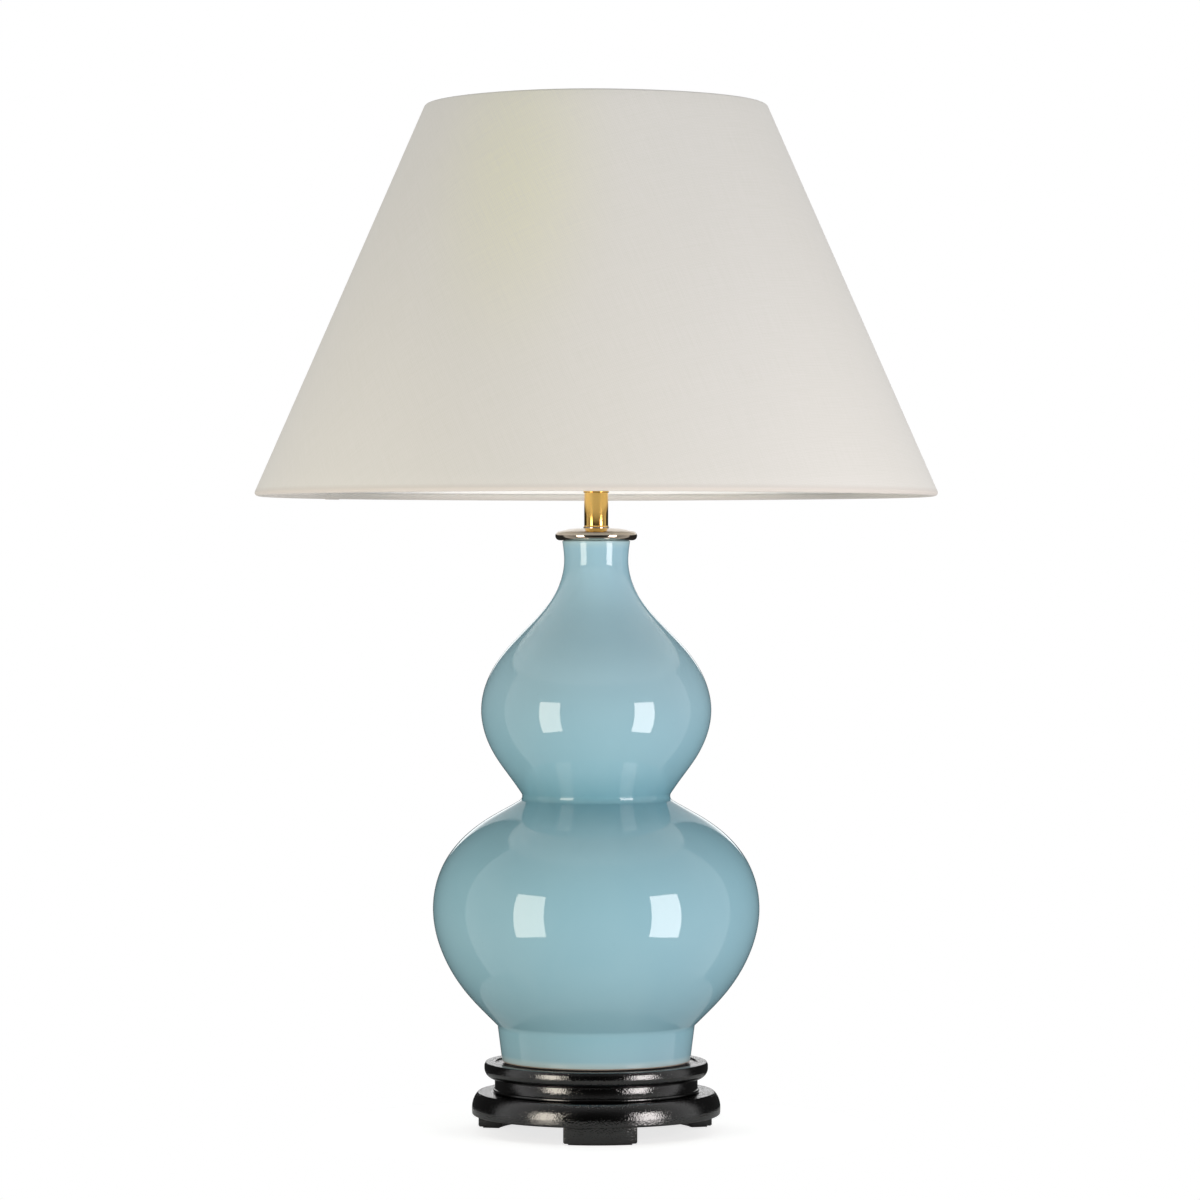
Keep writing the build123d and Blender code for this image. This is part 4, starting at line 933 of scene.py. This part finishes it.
def wrapped_sheet(name, placed, half, finish, cut_low, cut_high, proud):
    """A sheet wrapped into the shade's cone, with its thickness and its flat layout as UV.

    The cuts take the sheet back from each end by a length that changes round the shade, and
    proud moves it out by an amount that changes round the shade and up it.
    """
    turns = list(np.linspace(0, 2 * pi, 361)[:-1])
    # Close pairs of rows keep the lap's edges and the arms' slots crisp.
    for edge in (0.0, lap_turn):
        turns += [edge + 0.0006, edge - 0.0006 + (2 * pi if edge == 0 else 0)]
    for arm in arm_turns:
        at = (arm - seam_turn) % (2 * pi)
        turns += [at + s * arm_half + s * e for s in (-1, 1) for e in (0.0, 0.002)]
    turns = np.array(sorted(turns))
    run = np.hypot(*np.diff(placed, axis=0).T)
    length = np.concatenate([[0], np.cumsum(run)])
    facing = np.gradient(placed, axis=0)
    facing /= np.hypot(facing[:, 0], facing[:, 1])[:, None]
    facing = np.stack((facing[:, 1], -facing[:, 0]), axis=1)
    verts, flats = [], []
    for turn in turns:
        at = np.clip(length, cut_low(turn), length[-1] - cut_high(turn))
        radius = np.interp(at, length, placed[:, 0])
        height = np.interp(at, length, placed[:, 1])
        out = np.stack([np.interp(at, length, facing[:, i]) for i in (0, 1)], axis=1)
        bulge = proud(turn, at / length[-1])
        ring = [(radius + out[:, 0] * (side * half + bulge),
                 height + out[:, 1] * (side * half + bulge)) for side in (1, -1)]
        r = np.concatenate([ring[0][0], ring[1][0][::-1]])
        z = np.concatenate([ring[0][1], ring[1][1][::-1]])
        a = turn + seam_turn
        verts += [(r[i] * cos(a), r[i] * sin(a), z[i]) for i in range(len(r))]
        flats.append(np.concatenate([at, at[::-1]]))
    per, count = 2 * len(length), len(turns)
    faces, corners = [], []
    for i in range(count):
        j = (i + 1) % count
        end = turns[j] + (2 * pi if j == 0 else 0)
        for k in range(per):
            n = (k + 1) % per
            faces.append((i * per + k, j * per + k, j * per + n, i * per + n))
            for turn, flat in ((turns[i], flats[i][k]), (end, flats[j][k]),
                               (end, flats[j][n]), (turns[i], flats[i][n])):
                from_apex, fan = apex - flat, (turn - pi) * sin(lean)
                corners.append((from_apex * sin(fan), from_apex * cos(fan)))
    shape = bpy.data.meshes.new(name)
    shape.from_pydata(verts, [], faces)
    cloth_flat = shape.uv_layers.new(name="cut_cloth")
    cloth_flat.data.foreach_set("uv", np.array(corners, np.float32).ravel())
    smooth_faces(shape)
    turn_outwards(shape, weld=1e-7)
    shape.set_sharp_from_angle(angle=radians(50))
    shape.materials.append(finish)
    return in_scene(name, shape)


# Woven cloth on a stiff backing is matt, with the weave and its thicker threads just visible.
cloth, tree, shader = new_finish("laminated_plain_weave_cloth", {
    "Roughness": 0.85, "Sheen Weight": 0.15, "Sheen Roughness": 0.4})
laid = add_node(tree, "ShaderNodeUVMap", {}, uv_map="cut_cloth")
# Threads are 0.4 mm apart, and are drawn 1.2 mm apart so that the weave can be seen.
# Slubs are threads that run thick for 35 mm. They are drawn 1.1 mm wide.
thread_gap, slub_wide, slub_long = 0.0012, 0.0011, 0.035
threads, slubs = [], []
for way, run in (("X", (slub_wide, slub_long, 1.0)), ("Y", (slub_long, slub_wide, 1.0))):
    threads.append(add_node(tree, "ShaderNodeTexWave", {
        "Vector": laid.outputs["UV"], "Scale": 2 * pi / 20 / thread_gap, "Distortion": 0.6,
        "Detail": 1.0, "Detail Scale": 3.0},
        wave_type="BANDS", bands_direction=way, wave_profile="SIN"))
    along = add_node(tree, "ShaderNodeMapping", {
        "Vector": laid.outputs["UV"], "Scale": tuple(1 / size for size in run)})
    slubs.append(add_node(tree, "ShaderNodeTexNoise", {
        "Vector": along.outputs[0], "Scale": 1.0, "Detail": 2.0}))
over = add_node(tree, "ShaderNodeMath", {
    0: threads[0].outputs["Fac"], 1: threads[1].outputs["Fac"]}, operation="MULTIPLY")
slubs = add_node(tree, "ShaderNodeMath", {
    0: slubs[0].outputs["Fac"], 1: slubs[1].outputs["Fac"]}, operation="ADD")
yarn = add_node(tree, "ShaderNodeMath", {0: over.outputs[0], 1: slubs.outputs[0]},
                operation="ADD")
yarn_share = add_node(tree, "ShaderNodeMapRange", {
    "Value": yarn.outputs[0], "From Min": 0.5, "From Max": 1.8})
# Cloth of this kind yellows unevenly with age, in soft patches 150 mm across. One tall
# patch at the front left is painted warm light, mixed into the cloth's colour.
ageing = add_node(tree, "ShaderNodeTexNoise", {
    "Vector": laid.outputs["UV"], "Scale": 1 / 0.15, "Detail": 1.0})
cloth_tone = add_node(tree, "ShaderNodeMix", {
    0: ageing.outputs["Fac"], 6: colour("#E0DFDC"), 7: colour("#DEDCD7")}, data_type="RGBA")
place = add_node(tree, "ShaderNodeTexCoord", {})
# A soft round patch at the front left: a painted pool of warm light.
warm_light_spot = add_node(tree, "ShaderNodeMapping", {
    "Vector": place.outputs["Object"], "Location": (-0.064, -0.17, 0.71),
    "Scale": (0.085, 0.15, 0.19)}, vector_type="TEXTURE")
patch = add_node(tree, "ShaderNodeTexGradient", {"Vector": warm_light_spot.outputs[0]},
                 gradient_type="SPHERICAL")
painted_warm_light = add_node(tree, "ShaderNodeMapRange", {
    "Value": patch.outputs["Fac"], "To Max": 0.9}, interpolation_type="SMOOTHSTEP")
cloth_tone = add_node(tree, "ShaderNodeMix", {
    0: painted_warm_light.outputs[0], 6: cloth_tone.outputs[2], 7: colour("#E3E3C6")}, data_type="RGBA")
cloth_with_painted_light = add_node(tree, "ShaderNodeMix", {
    0: yarn_share.outputs[0], 6: colour("#D6D6CF"), 7: cloth_tone.outputs[2]}, data_type="RGBA")
# The fold over the lower wire is painted a little darker: painted shade on the lower part of the
# roll.
height = add_node(tree, "ShaderNodeSeparateXYZ", {"Vector": place.outputs["Object"]})
roll_painted_shade = add_node(tree, "ShaderNodeMapRange", {
    "Value": height.outputs["Z"], "From Min": 0.469, "From Max": 0.465, "To Max": 0.9})
cloth_with_painted_light = add_node(tree, "ShaderNodeMix", {
    0: roll_painted_shade.outputs[0], 6: cloth_with_painted_light.outputs[2], 7: colour("#CBC5BE")}, data_type="RGBA")
cloth_bump = add_node(tree, "ShaderNodeBump", {
    "Height": yarn_share.outputs[0], "Strength": 0.25, "Distance": 0.00012})
tree.links.new(cloth_with_painted_light.outputs[2], shader.inputs["Base Color"])
tree.links.new(cloth_bump.outputs["Normal"], shader.inputs["Normal"])

# Rolled styrene sheet is a clean satin white, with waves 30 mm long from its rollers.
styrene = grained_finish("white_styrene_lining", {"Roughness": 0.4}, grain=0.03, detail=3.0,
                         dark="#FBFAF8", light="#FEFEFD", relief=(0.2, 0.0004))


def hem_wander(turn):
    """How far the hand-turned hem wanders from its mean width."""
    return 0.0004 * sin(3 * turn + 0.6) + 0.0003 * sin(7 * turn + 2.1) + 0.0002 * sin(17 * turn)


def snip(turn):
    """How much of the upper hem is cut away where an arm passes."""
    gaps = [abs((turn + seam_turn - arm + pi) % (2 * pi) - pi) for arm in arm_turns]
    return 0.0085 if min(gaps) < arm_half + 0.001 else 0.0


def cloth_proud(turn, share):
    """The lapped seam stands out by the cloth's thickness, and the cone is not quite true."""
    lap = 0.0004 if turn < lap_turn else 0.0
    return (lap + 0.00012 * np.sin(2 * turn + 1.0 + 3 * share)
            + 0.00008 * np.sin(5 * turn + 4 * share))


cloth_edge = 0.0006
cover = wrapped_sheet("cloth_cover", cloth_line(roll=0.00205, hem=0.0022, spacing=0.012),
                      half=0.0004, finish=cloth,
                      cut_low=lambda turn: cloth_edge + hem_wander(turn),
                      cut_high=lambda turn: max(cloth_edge + hem_wander(turn + 2), snip(turn)),
                      proud=cloth_proud)
takes_place(cover, "shade_cover", "shade")

# The lining stops short of both wires, and lies inside the line that joins them.
lining_gap, rows = 0.0014, 24
liner_line = [(lining_gap, along)
              for along in np.linspace(lining_gap, slant - lining_gap, rows + 1)]
liner = wrapped_sheet("styrene_lining", tilted(np.array(liner_line)), half=0.00022,
                      finish=styrene, cut_low=lambda turn: 0.0,
                      cut_high=lambda turn: 0.004 if snip(turn) else 0.0,
                      proud=lambda turn, share: 0 * share - (0.0001 if turn < lap_turn else 0))
takes_place(liner, "shade_liner", "shade")


# ---------------------------------------------------------------- bulb
# An opal-coated glass globe cemented into a drawn aluminium cap with a rolled screw thread. A
# collar of black glass insulates the soldered contact at its tip.

# Powder inside the glass makes it a warm milky white under a clear gloss, uneven over 12 mm.
opal = grained_finish("opal_coated_glass", {
    "Roughness": 0.22, "IOR": 1.5, "Coat Weight": 0.6, "Coat Roughness": 0.08}, grain=0.012,
    detail=3.0, dark="#EEEBE4", light="#F7F5F0")
globe, glass_wall, globe_middle, turn_in = 30.0, 0.9, 580.2, 35
glass_line = curve_through(
    [(13.0, 526.2), (globe * cos(radians(turn_in)), globe_middle - globe * sin(radians(turn_in)))],
    (0, 1), (sin(radians(turn_in)), cos(radians(turn_in))), 24)
bore = globe - glass_wall
glass_section = (
    [tuple(p / 1000) for p in glass_line]
    + arc_points((0, globe_middle), globe, globe, -turn_in, 90, 48)[1:]
    + arc_points((0, globe_middle), bore, bore, 90, -turn_in, 32)
    + [((p[0] - glass_wall) / 1000, p[1] / 1000) for p in glass_line[::-2]]
)
takes_place(turned("opal_globe", glass_section, opal),
            "bulb_glass", "bulb")

# Drawn aluminium is pale and satin, with rub marks 2 mm wide from the die.
alu = grained_finish("drawn_aluminium", {"Metallic": 1.0}, grain=0.002, detail=4.0,
                     dark="#B4B5B7", light="#D0D1D3", gloss=(0.2, 0.4))
bulb_cap_section = (
    [(0.0075, 0.5077), (0.0080, 0.5077), (0.0127, 0.51085)]
    + threaded_row(0.0131, 0.5114, 0.5252, 0.0003)
    + [(0.0131, 0.5260), (0.0130, 0.5262), (0.0127, 0.5262), (0.0126, 0.5260),
       (0.0121, 0.5240), (0.0119, 0.5120), (0.0075, 0.5083)]
)
takes_place(turned("screw_cap", bulb_cap_section, alu, steps=96, thread_depth=0.0009,
                   thread_pitch=bulb_pitch, thread_low=0.5104, thread_high=0.5245),
            "bulb_cap", "bulb")

# The cast glass is nearly black, with a violet cast in clouds of 2 mm and a fire-bright skin.
vitrite = grained_finish("black_insulating_glass", {
    "Roughness": 0.15, "Coat Weight": 0.5, "Coat Roughness": 0.05}, grain=0.002, detail=2.0,
    dark="#0A0A0C", light="#1C1A20")
wear_finish("bulb_insulator", vitrite)

# Solder freezes to a dull grey bead with a skin wrinkled every 1.2 mm.
solder = grained_finish("soft_solder", {"Metallic": 1.0, "Roughness": 0.38}, grain=0.0012,
                        detail=3.0, dark="#8F9193", light="#BBBCBE", relief=(0.5, 0.0001))
tip_section = rounded([(0.0, 503.38, 0), (0.0, 502.2, 0), (2.4, 502.2, 1.5), (4.6, 502.8, 0.4),
                       (4.6, 503.38, 0.05)])
takes_place(turned("solder_tip", tip_section, solder, steps=64),
            "bulb_tip", "bulb_contact")


# ---------------------------------------------------------------- floor, light and camera
# A small round pale table top inside a white studio. Two tall soft lamps stand left and right
# of the camera, a large one hangs above, and two weaker ones stand behind for the other sides.
table_top = bpy.data.meshes.new("table_top")
table_reach, table_sides = 0.21, 96
edge = [(table_reach * cos(t), table_reach * sin(t), 0.0)
        for t in np.linspace(0, 2 * pi, table_sides + 1)[:-1]]
table_top.from_pydata(edge, [], [list(range(table_sides))])
in_scene("table_top", table_top)
pale, tree, shader = new_finish("pale_table_top", {"Base Color": colour("#B4B4B2"),
                                                   "Roughness": 0.9})
path = add_node(tree, "ShaderNodeLightPath", {})
seen = add_node(tree, "ShaderNodeMath", {
    0: path.outputs["Is Camera Ray"], 1: path.outputs["Is Transmission Ray"]},
    operation="MAXIMUM")
# In the object's gloss the table top is barely lifted, as a pale top in a dim room would be.
mirrored = add_node(tree, "ShaderNodeMath", {
    0: path.outputs["Is Glossy Ray"], 1: 0.05}, operation="MULTIPLY")
seen = add_node(tree, "ShaderNodeMath", {0: seen.outputs[0], 1: mirrored.outputs[0]},
                operation="MAXIMUM")
lift = add_node(tree, "ShaderNodeMath", {0: seen.outputs[0], 1: 0.75}, operation="MULTIPLY")
glow = add_node(tree, "ShaderNodeEmission", {"Strength": lift.outputs[0]})
both = add_node(tree, "ShaderNodeAddShader", {0: shader.outputs[0], 1: glow.outputs[0]})
tree.links.new(both.outputs[0], tree.nodes["Material Output"].inputs["Surface"])
table_top.materials.append(pale)

world = bpy.data.worlds.new("studio")
bpy.context.scene.world = world
world.use_nodes = True
tree = world.node_tree
path = add_node(tree, "ShaderNodeLightPath", {})
way = add_node(tree, "ShaderNodeTexCoord", {})
parts = add_node(tree, "ShaderNodeSeparateXYZ", {"Vector": way.outputs["Generated"]})
# In the gloss of the object: a dim room round the camera, pale walls at both sides, and behind
# the object the white backdrop, in the gap that widens upwards between two black flags.
behind = add_node(tree, "ShaderNodeMapRange", {
    "Value": parts.outputs["Y"], "From Min": -1.0, "From Max": 1.0})
studio = add_node(tree, "ShaderNodeValToRGB", {"Fac": behind.outputs[0]})
walls = [(0.0, 0.004), (0.08, 0.03), (0.35, 0.32), (0.64, 0.6), (0.65, 0.03)]
stops = studio.color_ramp.elements
for i, (at, level) in enumerate(walls):
    stop = stops[i] if i < 2 else stops.new(at)
    stop.position, stop.color = at, (level, level, level, 1)
aside = add_node(tree, "ShaderNodeMath", {0: parts.outputs["X"], 1: 0.035},
                 operation="SUBTRACT")
aside = add_node(tree, "ShaderNodeMath", {0: aside.outputs[0]}, operation="ABSOLUTE")
gap = add_node(tree, "ShaderNodeMath", {0: parts.outputs["Z"], 1: 0.16, 2: 0.22},
               operation="MULTIPLY_ADD")
gap = add_node(tree, "ShaderNodeMath", {0: gap.outputs[0], 1: aside.outputs[0]},
               operation="SUBTRACT")
gap = add_node(tree, "ShaderNodeMapRange", {
    "Value": gap.outputs[0], "From Min": -0.01, "From Max": 0.01})
far = add_node(tree, "ShaderNodeMapRange", {
    "Value": parts.outputs["Y"], "From Min": 0.28, "From Max": 0.34})
opening = add_node(tree, "ShaderNodeMath", {0: gap.outputs[0], 1: far.outputs[0]},
                   operation="MULTIPLY")
above = add_node(tree, "ShaderNodeMapRange", {
    "Value": parts.outputs["Z"], "From Min": 0.05, "From Max": 0.09})
opening = add_node(tree, "ShaderNodeMath", {0: opening.outputs[0], 1: above.outputs[0]},
                   operation="MULTIPLY")
# The backdrop is lit from the floor, so it is brightest low down.
upwards = add_node(tree, "ShaderNodeMapRange", {
    "Value": parts.outputs["Z"], "From Min": 0.0, "From Max": 0.25, "To Min": 2.6,
    "To Max": 0.6})
backdrop = add_node(tree, "ShaderNodeMix", {
    0: opening.outputs[0], 6: studio.outputs[0], 7: upwards.outputs[0]}, data_type="RGBA")
seen = add_node(tree, "ShaderNodeMath", {
    0: path.outputs["Is Camera Ray"], 1: path.outputs["Is Transmission Ray"]},
    operation="MAXIMUM")
# The soft light that fills the shadows comes mostly from below, off the pale studio floor.
fill = add_node(tree, "ShaderNodeMapRange", {
    "Value": parts.outputs["Z"], "From Min": -0.1, "From Max": 0.1, "To Min": 0.66,
    "To Max": 0.27})
glossy = add_node(tree, "ShaderNodeMix", {
    0: path.outputs["Is Glossy Ray"], 6: fill.outputs[0], 7: backdrop.outputs[2]},
    data_type="RGBA")
level = add_node(tree, "ShaderNodeMix", {
    0: seen.outputs[0], 6: glossy.outputs[2], 7: (1, 1, 1, 1)}, data_type="RGBA")
tree.links.new(level.outputs[2], tree.nodes["Background"].inputs["Color"])


def soft_lamp(name, place, aim, wide, high, watts, tint="#FFFFFF"):
    """A rectangular soft lamp at a place, turned to shine at its aim."""
    lamp = bpy.data.lights.new(name, "AREA")
    lamp.shape, lamp.size, lamp.size_y = "RECTANGLE", wide, high
    lamp.energy, lamp.color = watts, colour(tint)[:3]
    stand = in_scene(name, lamp)
    stand.location = place
    ahead = [a - p for a, p in zip(aim, place)]
    level_run = hypot(ahead[0], ahead[1])
    stand.rotation_euler = (atan2(level_run, -ahead[2]), 0, atan2(-ahead[0], ahead[1]))
    return stand


soft_lamp("left_lamp", (-0.90, -0.81, 0.16), (0, 0, 0.25), wide=0.47, high=0.90, watts=7.7,
          tint="#FFF6E7")
soft_lamp("right_lamp", (0.871, -0.841, 0.16), (0, 0, 0.25), wide=0.46, high=0.90, watts=9.7,
          tint="#FFF8F7")
out_of_gloss = [soft_lamp("top_lamp", (0.1, -0.55, 1.7), (0, 0, 0.3), wide=1.1, high=1.1,
                          watts=4.2)]
out_of_gloss += [soft_lamp("rear_lamp", (x, 1.1, 0.75), (0, 0, 0.35), wide=0.6, high=0.9,
                           watts=5.2) for x in (-1.0, 1.0)]
for stand in out_of_gloss:
    stand.visible_glossy = False

# The photograph's frame is 1200 by 1200 pixels: 0.73 mm to a pixel at the lamp's axis.
frame_pixels, pixel = 1200, 0.00073
camera_far, camera_high, camera_turn = 3.36, 0.416, radians(2)
lens = bpy.data.cameras.new("camera")
lens.sensor_width = 36.0
lens.lens = lens.sensor_width / (frame_pixels * pixel) * camera_far
lens.shift_x, lens.shift_y = 3.8 / frame_pixels, -39 / frame_pixels
camera = in_scene("camera", lens)
camera.location = (-camera_far * sin(camera_turn), -camera_far * cos(camera_turn), camera_high)
camera.rotation_euler = (pi / 2, 0, -camera_turn)
bpy.context.scene.camera = camera
bpy.context.scene.view_settings.view_transform = "Standard"
